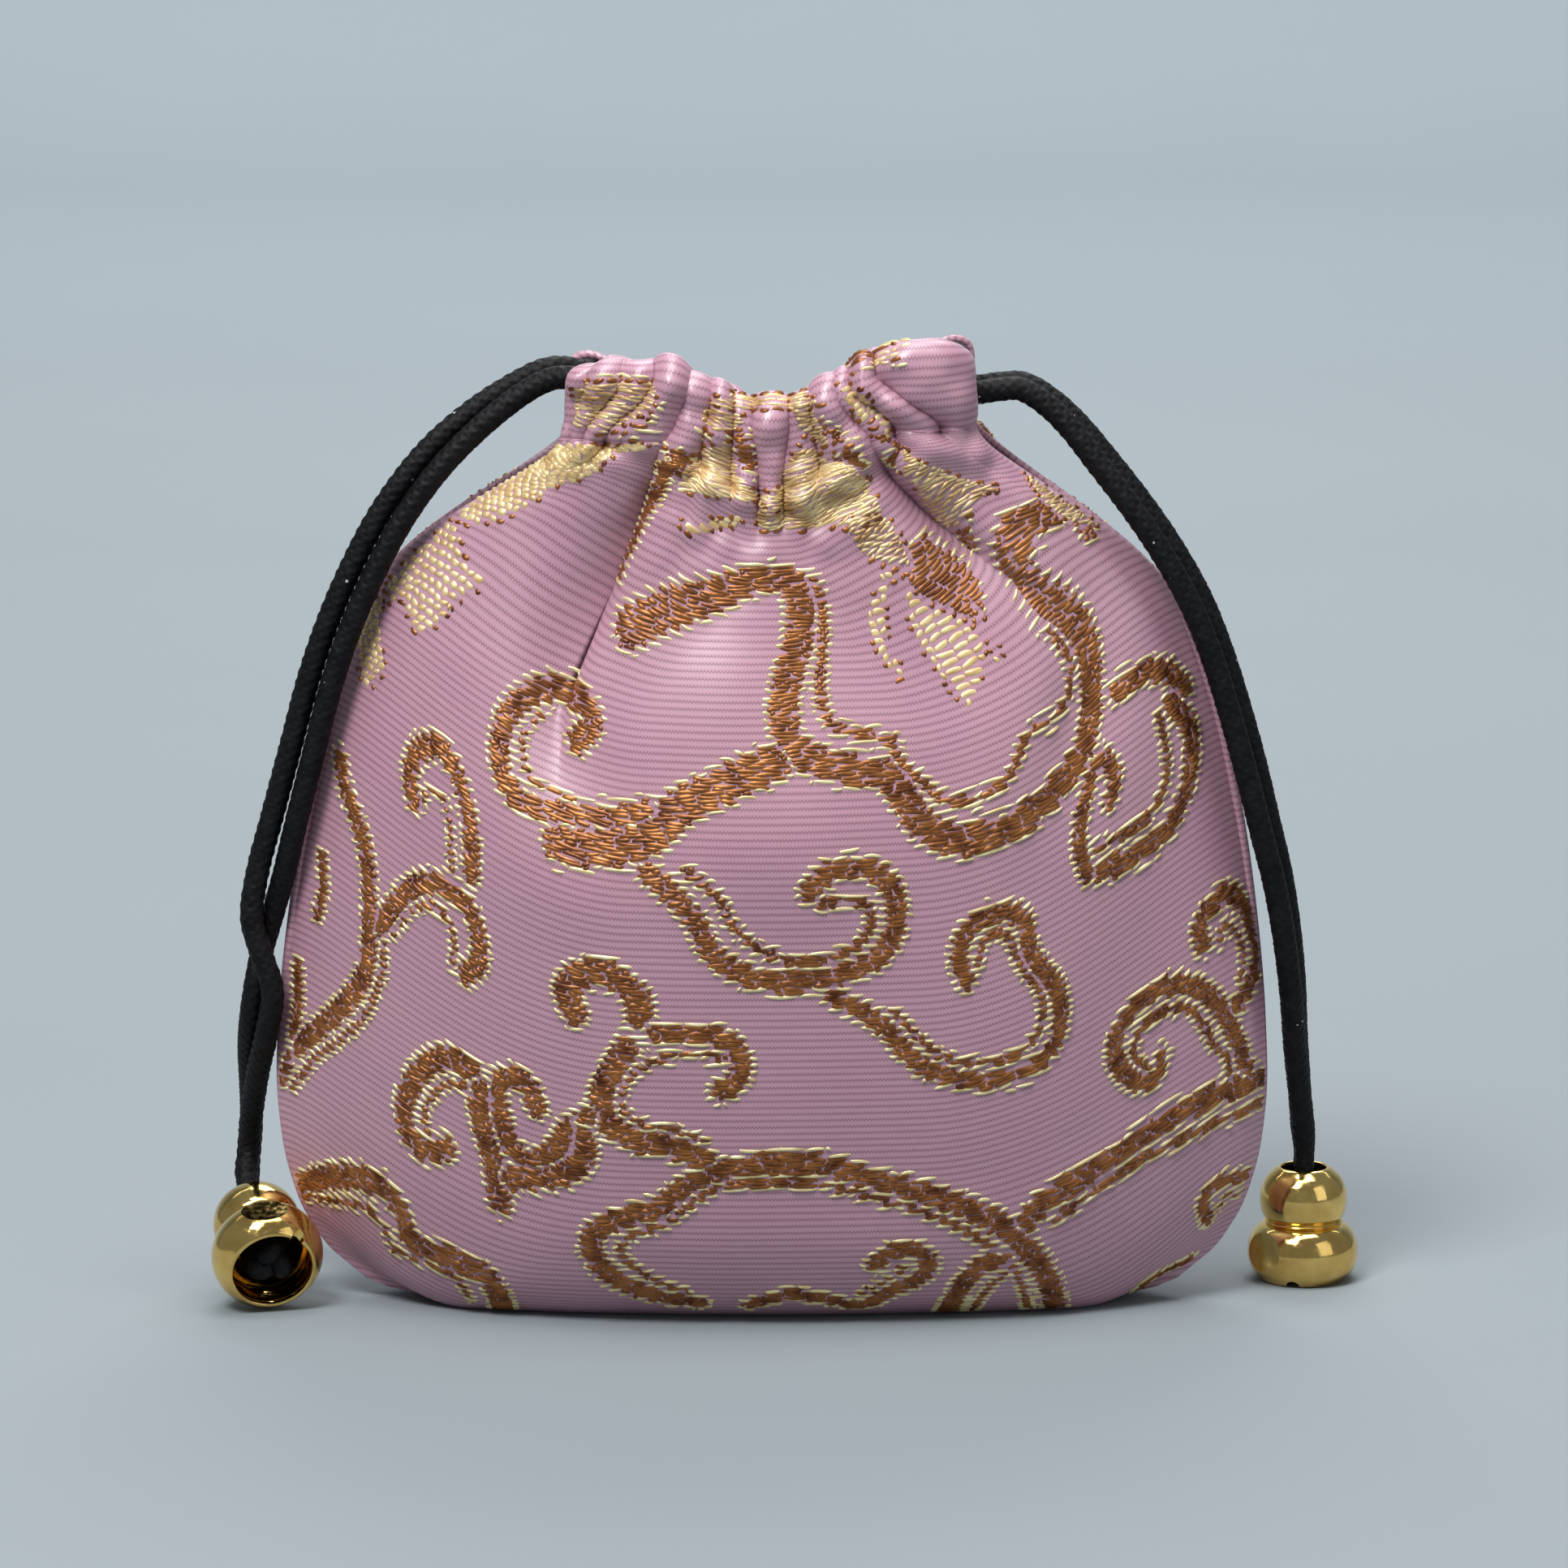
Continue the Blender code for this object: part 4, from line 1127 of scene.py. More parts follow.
@dataclass
class Studio:
    """Camera, paper sweep and soft lights, in metres and degrees."""

    elevation: float = 11.0
    azimuth: float = 0.0
    distance: float = 0.9
    aim: tuple = (0.0013, 0.0, 0.0565)
    frame_width: float = 0.16808
    sensor: float = 36.0
    picture: int = 1932
    half_floor: float = 2.4
    bend_start: float = 1.0
    bend: float = 0.4
    bend_steps: int = 16
    wall_top: float = 1.6
    sky: tuple = (0.80, 0.86, 0.90, 1.0)
    sky_strength: float = 0.27

    def place_camera(self) -> None:
        """Set the camera at the photograph's angle."""
        camera = bpy.data.cameras.new("view")
        camera.sensor_width = self.sensor
        camera.lens = self.sensor * self.distance / self.frame_width
        camera.clip_end = 10.0
        self.camera = bpy.data.objects.new("view", camera)
        bpy.context.scene.collection.objects.link(self.camera)
        up, turn = math.radians(self.elevation), math.radians(self.azimuth)
        back = Vector((math.sin(turn) * math.cos(up), -math.cos(turn) * math.cos(up), math.sin(up)))
        self.camera.location = Vector(self.aim) + back * self.distance
        self.camera.rotation_euler = back.to_track_quat("Z", "Y").to_euler()
        bpy.context.scene.camera = self.camera
        bpy.context.view_layer.update()

    def ray(self, pixel: tuple) -> tuple:
        """Follow the line of sight of a photograph pixel.

        Args:
            pixel: The pixel's place from the left and from the top.

        Returns:
            The start and the direction of the line.
        """
        lens = self.camera.data.lens / self.sensor * self.picture
        half = self.picture / 2
        local = Vector((pixel[0] - half, half - pixel[1], -lens)).normalized()
        matrix = self.camera.matrix_world
        return matrix.translation, matrix.to_3x3() @ local

    def add_light(self, box: SoftBox) -> None:
        """Hang one soft box.

        Args:
            box: The light.
        """
        lamp = bpy.data.lights.new(box.name, "AREA")
        lamp.shape = "RECTANGLE"
        lamp.size, lamp.size_y = box.size
        lamp.energy = box.power
        item = bpy.data.objects.new(box.name, lamp)
        item.location = box.place
        toward = Vector(box.aim) - Vector(box.place)
        item.rotation_euler = toward.to_track_quat("-Z", "Y").to_euler()
        bpy.context.scene.collection.objects.link(item)

    def build(self) -> None:
        """Build the paper sweep and the lights."""
        rows = [(-self.half_floor, 0.0), (self.bend_start, 0.0)]
        for index in range(1, self.bend_steps + 1):
            angle = math.radians(90) * index / self.bend_steps
            rows.append((self.bend_start + self.bend * math.sin(angle), self.bend * (1 - math.cos(angle))))
        rows.append((self.bend_start + self.bend, self.wall_top))
        points = np.array([[(x, y, z) for x in (-self.half_floor, self.half_floor)] for y, z in rows])
        sweep = grid_mesh(points, "paper_sweep")
        sweep.data.materials.append(StudioPaper().make())
        for box in SOFT_BOXES:
            self.add_light(box)
        world = bpy.data.worlds.new("studio")
        world.use_nodes = True
        glow = world.node_tree.nodes["Background"]
        glow.inputs["Color"].default_value = self.sky
        glow.inputs["Strength"].default_value = self.sky_strength
        bpy.context.scene.world = world
        bpy.context.scene.view_settings.view_transform = "Standard"


@dataclass(frozen=True)
class Band:
    """One vine, as drawn on the photograph: half its width in millimetres and pixels along it."""

    half: float
    pixels: tuple


@dataclass(frozen=True)
class Petal:
    """One gold leaf: length of its floats in millimetres, whether they lie close, and pixels round it."""

    float_length: float
    dense: bool
    pixels: tuple


VINES = (
    Band(1.6, ((708, 1246), (700, 1222), (712, 1203), (738, 1197), (765, 1208), (785, 1228), (790, 1255),
        (786, 1275))),
    Band(1.3, ((790, 1268), (830, 1274), (875, 1275), (903, 1288), (913, 1310), (906, 1332), (888, 1343))),
    Band(0.6, ((895, 1303), (850, 1299), (815, 1303), (785, 1320), (768, 1342), (768, 1365), (790, 1383),
        (835, 1392), (868, 1405))),
    Band(1.5, ((786, 1272), (765, 1303), (748, 1333), (742, 1358), (750, 1382), (785, 1403), (830, 1412),
        (868, 1428))),
    Band(1.35, ((735, 1372), (705, 1388), (690, 1410), (665, 1428), (640, 1420), (625, 1395), (618, 1365),
        (612, 1340), (630, 1327), (652, 1335), (662, 1362))),
    Band(1.5, ((598, 1330), (592, 1360), (600, 1400), (612, 1440), (618, 1478))),
    Band(1.35, ((600, 1328), (575, 1312), (550, 1303), (525, 1315), (507, 1340), (500, 1370), (508, 1400),
        (530, 1415), (552, 1412))),
    Band(0.6, ((585, 1345), (565, 1335), (545, 1340), (530, 1358), (525, 1382), (535, 1400), (550, 1405))),
    Band(1.5, ((620, 1450), (665, 1448), (705, 1440), (722, 1415), (715, 1388))),
    Band(1.4, ((365, 1458), (400, 1450), (440, 1448), (475, 1462), (497, 1492), (507, 1525), (545, 1545),
        (590, 1562), (612, 1585), (622, 1612))),
    Band(0.6, ((370, 1470), (420, 1478), (455, 1488), (477, 1512), (487, 1535), (520, 1550), (560, 1567),
        (580, 1595))),
    Band(1.25, ((423, 935), (430, 975), (445, 1015), (455, 1060), (458, 1110), (458, 1160), (450, 1205),
        (425, 1240), (395, 1268), (365, 1290))),
    Band(0.6, ((474, 1150), (474, 1195), (458, 1240), (430, 1275), (395, 1300), (362, 1340))),
    Band(1.25, ((470, 1145), (495, 1108), (525, 1088), (555, 1093), (580, 1118), (592, 1150), (592, 1185),
        (575, 1200))),
    Band(0.6, ((485, 1150), (510, 1120), (535, 1115), (555, 1135), (562, 1165), (560, 1190))),
    Band(1.25, ((512, 985), (508, 950), (520, 925), (543, 920), (562, 948), (575, 985), (583, 1030),
        (583, 1075))),
    Band(0.55, ((522, 990), (530, 975), (548, 985), (557, 1015), (558, 1050), (560, 1085))),
    Band(0.9, ((400, 1055), (402, 1095), (395, 1125))),
    Band(0.9, ((370, 1190), (370, 1240), (362, 1290), (352, 1330))),
    Band(1.35, ((712, 915), (733, 890), (718, 862), (688, 848), (655, 855), (628, 880), (617, 920),
        (622, 960), (650, 990), (700, 1003), (760, 1005), (800, 1000))),
    Band(0.55, ((670, 880), (650, 895), (643, 925), (652, 955), (680, 978), (720, 990), (760, 995))),
    Band(2.0, ((690, 1042), (735, 1045), (785, 1040), (815, 1020), (840, 995), (880, 975), (920, 955),
        (955, 940))),
    Band(1.7, ((775, 775), (830, 750), (880, 735), (930, 715), (968, 715), (985, 740), (983, 790),
        (970, 840), (965, 880), (975, 920), (1010, 940), (1050, 950), (1090, 955), (1115, 985),
        (1140, 1020), (1180, 1035), (1230, 1025), (1270, 1000), (1305, 965), (1330, 930), (1340, 890),
        (1342, 840), (1335, 790), (1310, 755), (1275, 735), (1250, 695), (1245, 665), (1265, 645),
        (1290, 630))),
    Band(0.75, ((1000, 715), (1012, 750), (1013, 800), (1010, 850), (1022, 890), (1060, 905), (1100, 915),
        (1105, 935), (1135, 965), (1165, 985), (1200, 985), (1235, 965), (1252, 935), (1265, 905),
        (1300, 880), (1315, 850), (1315, 815), (1300, 785), (1270, 755), (1245, 715))),
    Band(1.3, ((800, 1075), (832, 1105), (858, 1135), (873, 1168), (905, 1195), (950, 1208), (1000, 1207),
        (1050, 1195), (1085, 1175), (1102, 1140), (1100, 1100), (1078, 1075), (1045, 1068), (1015, 1078),
        (998, 1098))),
    Band(0.7, ((845, 1072), (885, 1105), (903, 1140), (935, 1168), (975, 1183), (1020, 1180), (1055, 1165),
        (1072, 1140), (1068, 1115), (1045, 1108), (1010, 1112))),
    Band(1.15, ((1025, 1225), (1060, 1245), (1095, 1270), (1120, 1300), (1160, 1323), (1210, 1330),
        (1260, 1320), (1295, 1290), (1305, 1250), (1298, 1215), (1278, 1190), (1265, 1165), (1262, 1140),
        (1248, 1125), (1215, 1127), (1190, 1148), (1180, 1180), (1190, 1207))),
    Band(0.65, ((1100, 1245), (1135, 1282), (1165, 1303), (1210, 1308), (1255, 1295), (1280, 1265),
        (1282, 1225), (1265, 1200), (1250, 1175), (1242, 1155), (1225, 1148), (1208, 1165), (1203, 1190))),
    Band(1.35, ((860, 1600), (800, 1590), (755, 1570), (730, 1540), (735, 1515), (770, 1498), (815, 1485),
        (845, 1460), (890, 1440), (950, 1432), (1010, 1432), (1060, 1447), (1120, 1463), (1180, 1482),
        (1230, 1507), (1265, 1538), (1290, 1575), (1300, 1610))),
    Band(0.65, ((850, 1590), (800, 1570), (768, 1545), (775, 1522), (820, 1505), (850, 1482), (895, 1458),
        (950, 1455), (1010, 1457), (1070, 1472), (1130, 1488), (1180, 1510), (1225, 1538), (1255, 1570),
        (1265, 1605))),
    Band(1.15, ((925, 1602), (970, 1592), (1010, 1595), (1060, 1603), (1090, 1590), (1130, 1572),
        (1145, 1553), (1125, 1537), (1098, 1540), (1078, 1555))),
    Band(0.5, ((1060, 1590), (1095, 1572), (1115, 1558), (1100, 1555))),
    Band(1.3, ((1165, 1612), (1185, 1580), (1210, 1555), (1235, 1548))),
    Band(0.6, ((1195, 1612), (1215, 1585), (1238, 1565))),
    Band(1.4, ((1262, 1505), (1290, 1475), (1330, 1450), (1370, 1425), (1420, 1390), (1470, 1360),
        (1520, 1338), (1552, 1326))),
    Band(0.7, ((1300, 1500), (1340, 1470), (1385, 1440), (1440, 1408), (1490, 1385), (1540, 1362),
        (1552, 1356))),
    Band(1.2, ((1430, 1300), (1420, 1325), (1395, 1330), (1373, 1305), (1373, 1275), (1392, 1245),
        (1420, 1220), (1455, 1213), (1485, 1225), (1508, 1252), (1522, 1285), (1535, 1320))),
    Band(0.7, ((1435, 1300), (1412, 1315), (1395, 1300), (1398, 1278), (1415, 1255), (1440, 1243),
        (1465, 1243), (1480, 1262), (1492, 1285), (1510, 1300), (1512, 1325))),
    Band(1.2, ((1480, 1165), (1475, 1140), (1490, 1115), (1512, 1100), (1530, 1120), (1540, 1150),
        (1545, 1185), (1535, 1215), (1520, 1240))),
    Band(0.6, ((1500, 1160), (1505, 1140), (1520, 1150), (1528, 1175), (1525, 1205))),
    Band(1.1, ((1365, 985), (1372, 955), (1357, 935), (1342, 960), (1332, 1000), (1328, 1040),
        (1338, 1075))),
    Band(1.3, ((1440, 865), (1462, 895), (1465, 940), (1455, 985), (1432, 1025), (1395, 1055),
        (1355, 1072))),
    Band(0.7, ((1425, 880), (1432, 915), (1435, 955), (1420, 995), (1385, 1025), (1350, 1045))),
    Band(1.2, ((1375, 850), (1405, 830), (1435, 828), (1458, 850))),
    Band(1.0, ((1485, 1500), (1480, 1475), (1500, 1455), (1530, 1447), (1548, 1445))),
    Band(0.5, ((1500, 1485), (1510, 1470), (1535, 1468))),
    Band(1.15, ((1385, 1595), (1410, 1575), (1435, 1560), (1460, 1548))),
    Band(0.9, ((836, 556), (812, 606), (790, 655), (770, 705))),
    Band(2.2, ((1135, 700), (1165, 722), (1190, 742))),
    Band(1.0, ((868, 528), (895, 522), (915, 545), (920, 575))),
    Band(0.9, ((1040, 452), (1075, 436), (1108, 436))),
    Band(1.0, ((1100, 560), (1140, 590), (1180, 640), (1195, 665))),
    Band(1.1, ((1262, 580), (1300, 612), (1338, 655))),
    Band(0.7, ((1012, 520), (1035, 545), (1060, 575))),
    Band(0.7, ((720, 500), (745, 520), (768, 535))),
    Band(0.7, ((740, 478), (790, 476), (806, 498), (785, 525))))

PETALS = (
    Petal(0.95, False, ((500, 650), (530, 628), (560, 640), (572, 660), (580, 690), (605, 715), (590, 735),
        (565, 750), (545, 775), (520, 785), (505, 770), (497, 745), (480, 745), (478, 700), (490, 670))),
    Petal(0.95, False, ((540, 590), (600, 560), (640, 556), (720, 548), (790, 540), (760, 565), (720, 590),
        (690, 600), (660, 625), (620, 645), (580, 650), (560, 640))),
    Petal(0.95, False, ((445, 700), (470, 690), (478, 740), (475, 790), (480, 830), (455, 850),
        (440, 800))),
    Petal(2.6, True, ((705, 470), (760, 466), (810, 470), (812, 500), (790, 520), (765, 537), (720, 528),
        (704, 500))),
    Petal(2.6, True, ((830, 600), (850, 560), (870, 545), (900, 540), (925, 600), (960, 630), (900, 615),
        (840, 610))),
    Petal(2.6, True, ((985, 545), (1030, 560), (1060, 580), (1090, 640), (1030, 655), (960, 655),
        (925, 640))),
    Petal(1.9, True, ((862, 500), (905, 496), (920, 530), (880, 535), (858, 520))),
    Petal(1.9, True, ((975, 490), (1005, 492), (1020, 530), (1040, 556), (1005, 548), (980, 530))),
    Petal(1.7, False, ((1100, 680), (1130, 730), (1190, 760), (1215, 790), (1215, 820), (1200, 870),
        (1180, 870), (1150, 830), (1120, 780), (1110, 740))),
    Petal(1.1, False, ((1085, 700), (1065, 760), (1075, 800), (1100, 840), (1120, 835), (1100, 790),
        (1095, 740), (1110, 700))),
    Petal(1.1, False, ((1190, 735), (1215, 760), (1235, 800), (1240, 830), (1225, 830), (1215, 800))),
    Petal(2.2, True, ((1095, 540), (1150, 570), (1200, 590), (1235, 600), (1210, 620), (1180, 650),
        (1150, 640))),
    Petal(1.9, True, ((1240, 565), (1290, 550), (1350, 610), (1355, 650), (1320, 650), (1280, 620))),
    Petal(1.7, True, ((1035, 445), (1075, 428), (1112, 430), (1110, 445), (1060, 465))),
    Petal(1.7, False, ((830, 640), (910, 632), (912, 650), (850, 664))),
    Petal(1.5, True, ((1035, 640), (1085, 630), (1110, 655), (1125, 700), (1105, 705), (1060, 690),
        (1045, 665))),
    Petal(2.2, True, ((862, 488), (930, 484), (1010, 486), (1012, 502), (940, 512), (880, 506))),
    Petal(1.6, False, ((1030, 470), (1065, 476), (1095, 520), (1092, 545), (1060, 520), (1035, 492))),
    Petal(1.5, True, ((1255, 548), (1290, 560), (1345, 612), (1362, 648), (1330, 640), (1285, 600),
        (1252, 570))))


@dataclass
class Pattern:
    """The woven pattern on the flat cloth, traced from the photograph through the camera."""

    studio: Studio
    panel: Panel
    fullness: float = 1.12
    vines: list = field(default_factory=list)
    petals: list = field(default_factory=list)

    def trace(self, pixels: tuple, closed: bool = False) -> np.ndarray:
        """Follow drawn pixels to the front panel.

        Args:
            pixels: Points of the drawn line.
            closed: Whether the line ends where it starts.

        Returns:
            Places across and up the flat cloth, in millimetres.
        """
        drawn = np.array(pixels + pixels[:1] if closed else pixels, dtype=float)
        found = []
        for pixel in catmull(drawn, 3 if closed else 5):
            start, way = self.studio.ray(pixel)
            place, _, cell, _ = self.tree.ray_cast(start, way)
            if place is not None:
                found.append(self.panel.flat_point(place, cell))
        return np.array(found)

    def draw(self) -> None:
        """Trace every vine and petal."""
        grid = self.panel.grid * MM
        rows, columns = grid.shape[:2]
        corner = (np.arange(rows - 1)[:, None] * columns + np.arange(columns - 1)).ravel()
        cells = np.stack((corner, corner + 1, corner + columns + 1, corner + columns), 1)
        self.tree = BVHTree.FromPolygons(grid.reshape(-1, 3).tolist(), cells.tolist())
        for band in VINES:
            line = self.trace(band.pixels)
            if len(line) > 2:
                self.vines.append((band.half * self.fullness, line))
        for petal in PETALS:
            outline = self.trace(petal.pixels, closed=True)
            if len(outline) > 3:
                self.petals.append((petal, outline))
        LOG.info("pattern traced: %d vines and %d petals", len(self.vines), len(self.petals))

    def turned(self, tall: float) -> "Pattern":
        """Turn the pattern by half a turn, as the other end of the same cloth shows it.

        Args:
            tall: Sum of the old and the new flat height of each place, in millimetres.

        Returns:
            The turned pattern.
        """
        other = Pattern(self.studio, self.panel)
        for old, new in ((self.vines, other.vines), (self.petals, other.petals)):
            for item, line in old:
                new.append((item, np.stack((-line[:, 0], tall - line[:, 1]), 1)))
        return other


@dataclass(frozen=True)
class FloatCut:
    """How floats are cut: length, jitter and gap in millimetres, and their shift from row to row.

    The shift is a share of the length and the gap together.
    """

    length: float
    jitter: float
    gap: float
    shift: float = 0.0


COPPER_ROW = FloatCut(2.5, 0.75, 0.14, 0.43)
COPPER_CORE = FloatCut(2.3, 0.7, 0.22, 0.29)
OUTLINE_ROW = FloatCut(3.2, 0.9, 0.12, 0.61)
LEAF_EDGE = FloatCut(1.0, 0.1, 0.3)
CASING_STITCH = FloatCut(1.5, 0.08, 0.75)


def leaf_cut(petal: Petal) -> FloatCut:
    """Return how the floats inside a leaf are cut."""
    return FloatCut(petal.float_length, 0.12 * petal.float_length, 0.11, 0.37)


# Distances, in millimetres, of places that no line comes near
FAR_OFF = 9.0
FARTHER_OFF = 99.0


@dataclass
class Loom:
    """Lays the metallic floats of the pattern on one panel, row by row, in millimetres."""

    panel: Panel
    pattern: Pattern
    pitch: float = 0.78
    sample: float = 0.12
    rim: float = 0.45
    reach: float = 1.2
    shortest: float = 0.42
    side_gap: float = 0.5
    plain_top: float = 7.0
    stitch_drop: float = 0.7
    stitch_side: float = 0.8
    floor_gap: float = 0.35
    edge_lift: float = 0.01
    steps: int = 6
    seed: int = 7
    half_thick: dict = field(default_factory=lambda: {
        Yarn.COPPER: 0.27, Yarn.OUTLINE: 0.20, Yarn.BLOSSOM: 0.36, Yarn.SATIN: 0.20, Yarn.STITCH: 0.16})
    raised: dict = field(default_factory=lambda: {
        Yarn.COPPER: 0.24, Yarn.OUTLINE: 0.24, Yarn.BLOSSOM: 0.20, Yarn.SATIN: 0.24, Yarn.STITCH: 0.16})

    def spans(self, chosen: np.ndarray) -> list:
        """Find the runs of chosen places in the current row.

        Args:
            chosen: Whether each place is chosen.

        Returns:
            The start and end of each run.
        """
        edges = np.flatnonzero(np.diff(np.concatenate(([0], chosen.astype(int), [0]))))
        return [(self.places[a] - self.sample / 2, self.places[b - 1] + self.sample / 2)
                for a, b in zip(edges[::2], edges[1::2])]

    def cut(self, yarn: Yarn, height: float, span: tuple, way: FloatCut, row: int = 0) -> None:
        """Cut one run into floats of one yarn.

        Args:
            yarn: The yarn of the floats.
            height: Flat height of the row.
            span: Start and end of the run.
            way: How the floats are cut.
            row: Number of the row, which shifts where they start.
        """
        phase = way.shift * row % 1
        pitch = way.length + way.gap
        first = math.floor((span[0] / pitch) - phase) - 1
        count = int((span[1] - span[0]) / pitch) + 4
        marks = (first + phase + np.arange(count)) * pitch + self.rng.uniform(-way.jitter, way.jitter, count)
        for a, b in zip(marks[:-1], marks[1:]):
            start, end = max(span[0], a + way.gap / 2), min(span[1], b - way.gap / 2)
            if end - start > self.shortest:
                self.floats[yarn].append((height, start, end))

    def nearest(self, lines: list, height: float) -> tuple:
        """Measure how far the places of the current row lie from the edges of drawn lines.

        Args:
            lines: Pairs of half width and points of each line.
            height: Flat height of the row.

        Returns:
            The distance, negative inside a line; how steeply it is measured, from 0 sideways to 1 upwards;
            and how much farther the next line's edge is.
        """
        places, reach = self.places, self.reach
        best = np.full(len(places), FAR_OFF)
        second = np.full(len(places), FARTHER_OFF)
        level = np.zeros(len(places))
        for half, line in lines:
            if line[:, 1].min() - half > height + reach or line[:, 1].max() + half < height - reach:
                continue
            close = (np.minimum(line[:-1, 1], line[1:, 1]) < height + half + reach)
            close &= (np.maximum(line[:-1, 1], line[1:, 1]) > height - half - reach)
            if not close.any():
                continue
            start, way = line[:-1][close], np.diff(line, axis=0)[close]
            size = np.maximum((way ** 2).sum(1), 1e-9)
            gone = np.stack((places[:, None] - start[:, 0], height - start[:, 1] + 0 * places[:, None]), -1)
            part = np.clip((gone * way).sum(-1) / size, 0, 1)
            off = gone - part[..., None] * way
            far = np.hypot(off[..., 0], off[..., 1])
            pick = far.argmin(1)
            rows = np.arange(len(places))
            value = far[rows, pick] - half
            better = value < best
            second = np.where(better, best, np.minimum(second, value))
            best = np.where(better, value, best)
            steep = np.abs(off[rows, pick, 1]) / np.maximum(far[rows, pick], 1e-6)
            level = np.where(better, steep, level)
        return best, level, second - best

    def inside(self, outline: np.ndarray, height: float) -> np.ndarray:
        """Tell which places of the current row lie inside an outline.

        Args:
            outline: Points round the outline.
            height: Flat height of the row.

        Returns:
            Whether each place lies inside.
        """
        a, b = outline, np.roll(outline, -1, axis=0)
        crosses = (a[:, 1] > height) != (b[:, 1] > height)
        if not crosses.any():
            return np.zeros(len(self.places), dtype=bool)
        a, b = a[crosses], b[crosses]
        at = a[:, 0] + (height - a[:, 1]) * (b[:, 0] - a[:, 0]) / (b[:, 1] - a[:, 1])
        return (self.places[:, None] < at[None, :]).sum(1) % 2 == 1

    def ends(self, height: float) -> np.ndarray:
        """Return the two ends of the row at a flat height."""
        row = np.interp(height, self.panel.height, np.arange(len(self.panel.height)))
        return self.panel.across[int(row)][[0, -1]]

    def weave(self) -> None:
        """Plan the floats of every row."""
        self.rng = np.random.default_rng(self.seed)
        self.floats = {yarn: [] for yarn in Yarn}
        for index in range(2, int(self.panel.height[-1] / self.pitch) * 2):
            height = index * self.pitch / 2
            if height > self.panel.height[-1] - self.plain_top:
                break
            left, right = self.ends(height)
            self.places = np.arange(left + self.side_gap, right - self.side_gap, self.sample)
            self.weave_vines(index, height, self.weave_leaves(index, height))

    def weave_leaves(self, index: int, height: float) -> np.ndarray:
        """Plan the floats of the gold leaves in one row.

        Args:
            index: Number of the row.
            height: Its flat height.

        Returns:
            Which places of the row the leaves cover.
        """
        gold_row = index % 2 == 1
        covered = np.zeros(len(self.places), dtype=bool)
        for petal, outline in self.pattern.petals:
            if not outline[:, 1].min() - 1 < height < outline[:, 1].max() + 1:
                continue
            within = self.inside(outline, height)
            if not within.any():
                continue
            rim, _, _ = self.nearest([(0.0, np.vstack((outline, outline[:1])))], height)
            edge = within & (rim < self.rim)
            covered |= within
            if petal.dense or not gold_row:
                yarn = Yarn.SATIN if petal.dense else Yarn.BLOSSOM
                for span in self.spans(within & ~edge):
                    self.cut(yarn, height, span, leaf_cut(petal), index)
            if not gold_row:
                for span in self.spans(edge):
                    self.cut(Yarn.COPPER, height, span, LEAF_EDGE)
        return covered

    def weave_vines(self, index: int, height: float, covered: np.ndarray) -> None:
        """Plan the copper and its pale outlines in one row.

        Args:
            index: Number of the row.
            height: Its flat height.
            covered: Which places of the row are taken by leaves.
        """
        distance, level, lead = self.nearest(self.pattern.vines, height)
        parting = (lead < 0.34) & (distance < 0.2)
        if index % 2 == 0:
            for span in self.spans((distance < -0.18) & ~covered & ~parting):
                self.cut(Yarn.COPPER, height, span, COPPER_ROW, index)
            return
        for span in self.spans((distance < -0.55) & ~covered & ~parting):
            self.cut(Yarn.COPPER, height, span, COPPER_CORE, index)
        limit = 0.40 * (1 - level) + 0.43 * level
        for span in self.spans(((np.abs(distance + 0.05) < limit) | parting) & ~covered):
            self.cut(Yarn.OUTLINE, height, span, OUTLINE_ROW, index)

    def stitch(self) -> None:
        """Plan the running stitches that close the casing."""
        height = self.panel.shape.top - self.stitch_drop
        left, right = self.ends(height)
        self.cut(Yarn.STITCH, height, (left + self.stitch_side, right - self.stitch_side), CASING_STITCH)

    def build(self) -> list:
        """Build one piece of floats for each yarn.

        Returns:
            Pairs of yarn and piece.
        """
        self.weave()
        self.stitch()
        self.pieces = []
        for yarn, planned in self.floats.items():
            self.pieces.append((yarn, self.lay(yarn, planned)))
            LOG.info("%s %s: %d floats", self.panel.face.value, yarn.value, len(planned))
        return self.pieces

    def lay(self, yarn: Yarn, planned: list) -> bpy.types.Object:
        """Bend the strips of one yarn onto the cloth.

        Args:
            yarn: The yarn.
            planned: Flat height, start and end of each float.

        Returns:
            The piece.
        """
        part = np.linspace(0, 1, self.steps)
        swell = np.sin(math.pi * np.clip(part * 0.88 + 0.06, 0, 1)) ** 0.32
        rise = np.clip(np.sin(math.pi * part) * 1.9, 0, 1)
        points, flats = [], []
        for height in sorted({item[0] for item in planned}):
            row = np.array([item[1:] for item in planned if item[0] == height])
            count = len(row)
            across = row[:, :1] + (row[:, 1:] - row[:, :1]) * part[None, :]
            place, along, out = self.panel.locate(height, across.ravel())
            place, along, out = (item.reshape(count, self.steps, 3) for item in (place, along, out))
            up = np.cross(out, along) * (1 if self.panel.face is Face.FRONT else -1)
            half = self.half_thick[yarn] * self.rng.uniform(0.85, 1.12, (count, 1))
            drift = self.rng.uniform(-0.17, 0.17, (count, 1)) * (part - 0.5)[None, :] * 2
            bow = self.rng.uniform(-0.15, 0.15, (count, 1)) * (1 - (2 * part - 1) ** 2)[None, :]
            tall = self.raised[yarn] * self.rng.uniform(0.8, 1.15, (count, 1)) * rise[None, :]
            strips, flat = [], []
            for side in (-1, 0, 1):
                shift = (side * half * swell[None, :] + drift + bow)[..., None]
                lift = self.panel.shape.thickness / 2 + (tall if side == 0 else 0 * tall + self.edge_lift)
                strips.append(place + up * shift + out * lift[..., None])
                flat.append(np.stack((across, height + shift[..., 0]), -1))
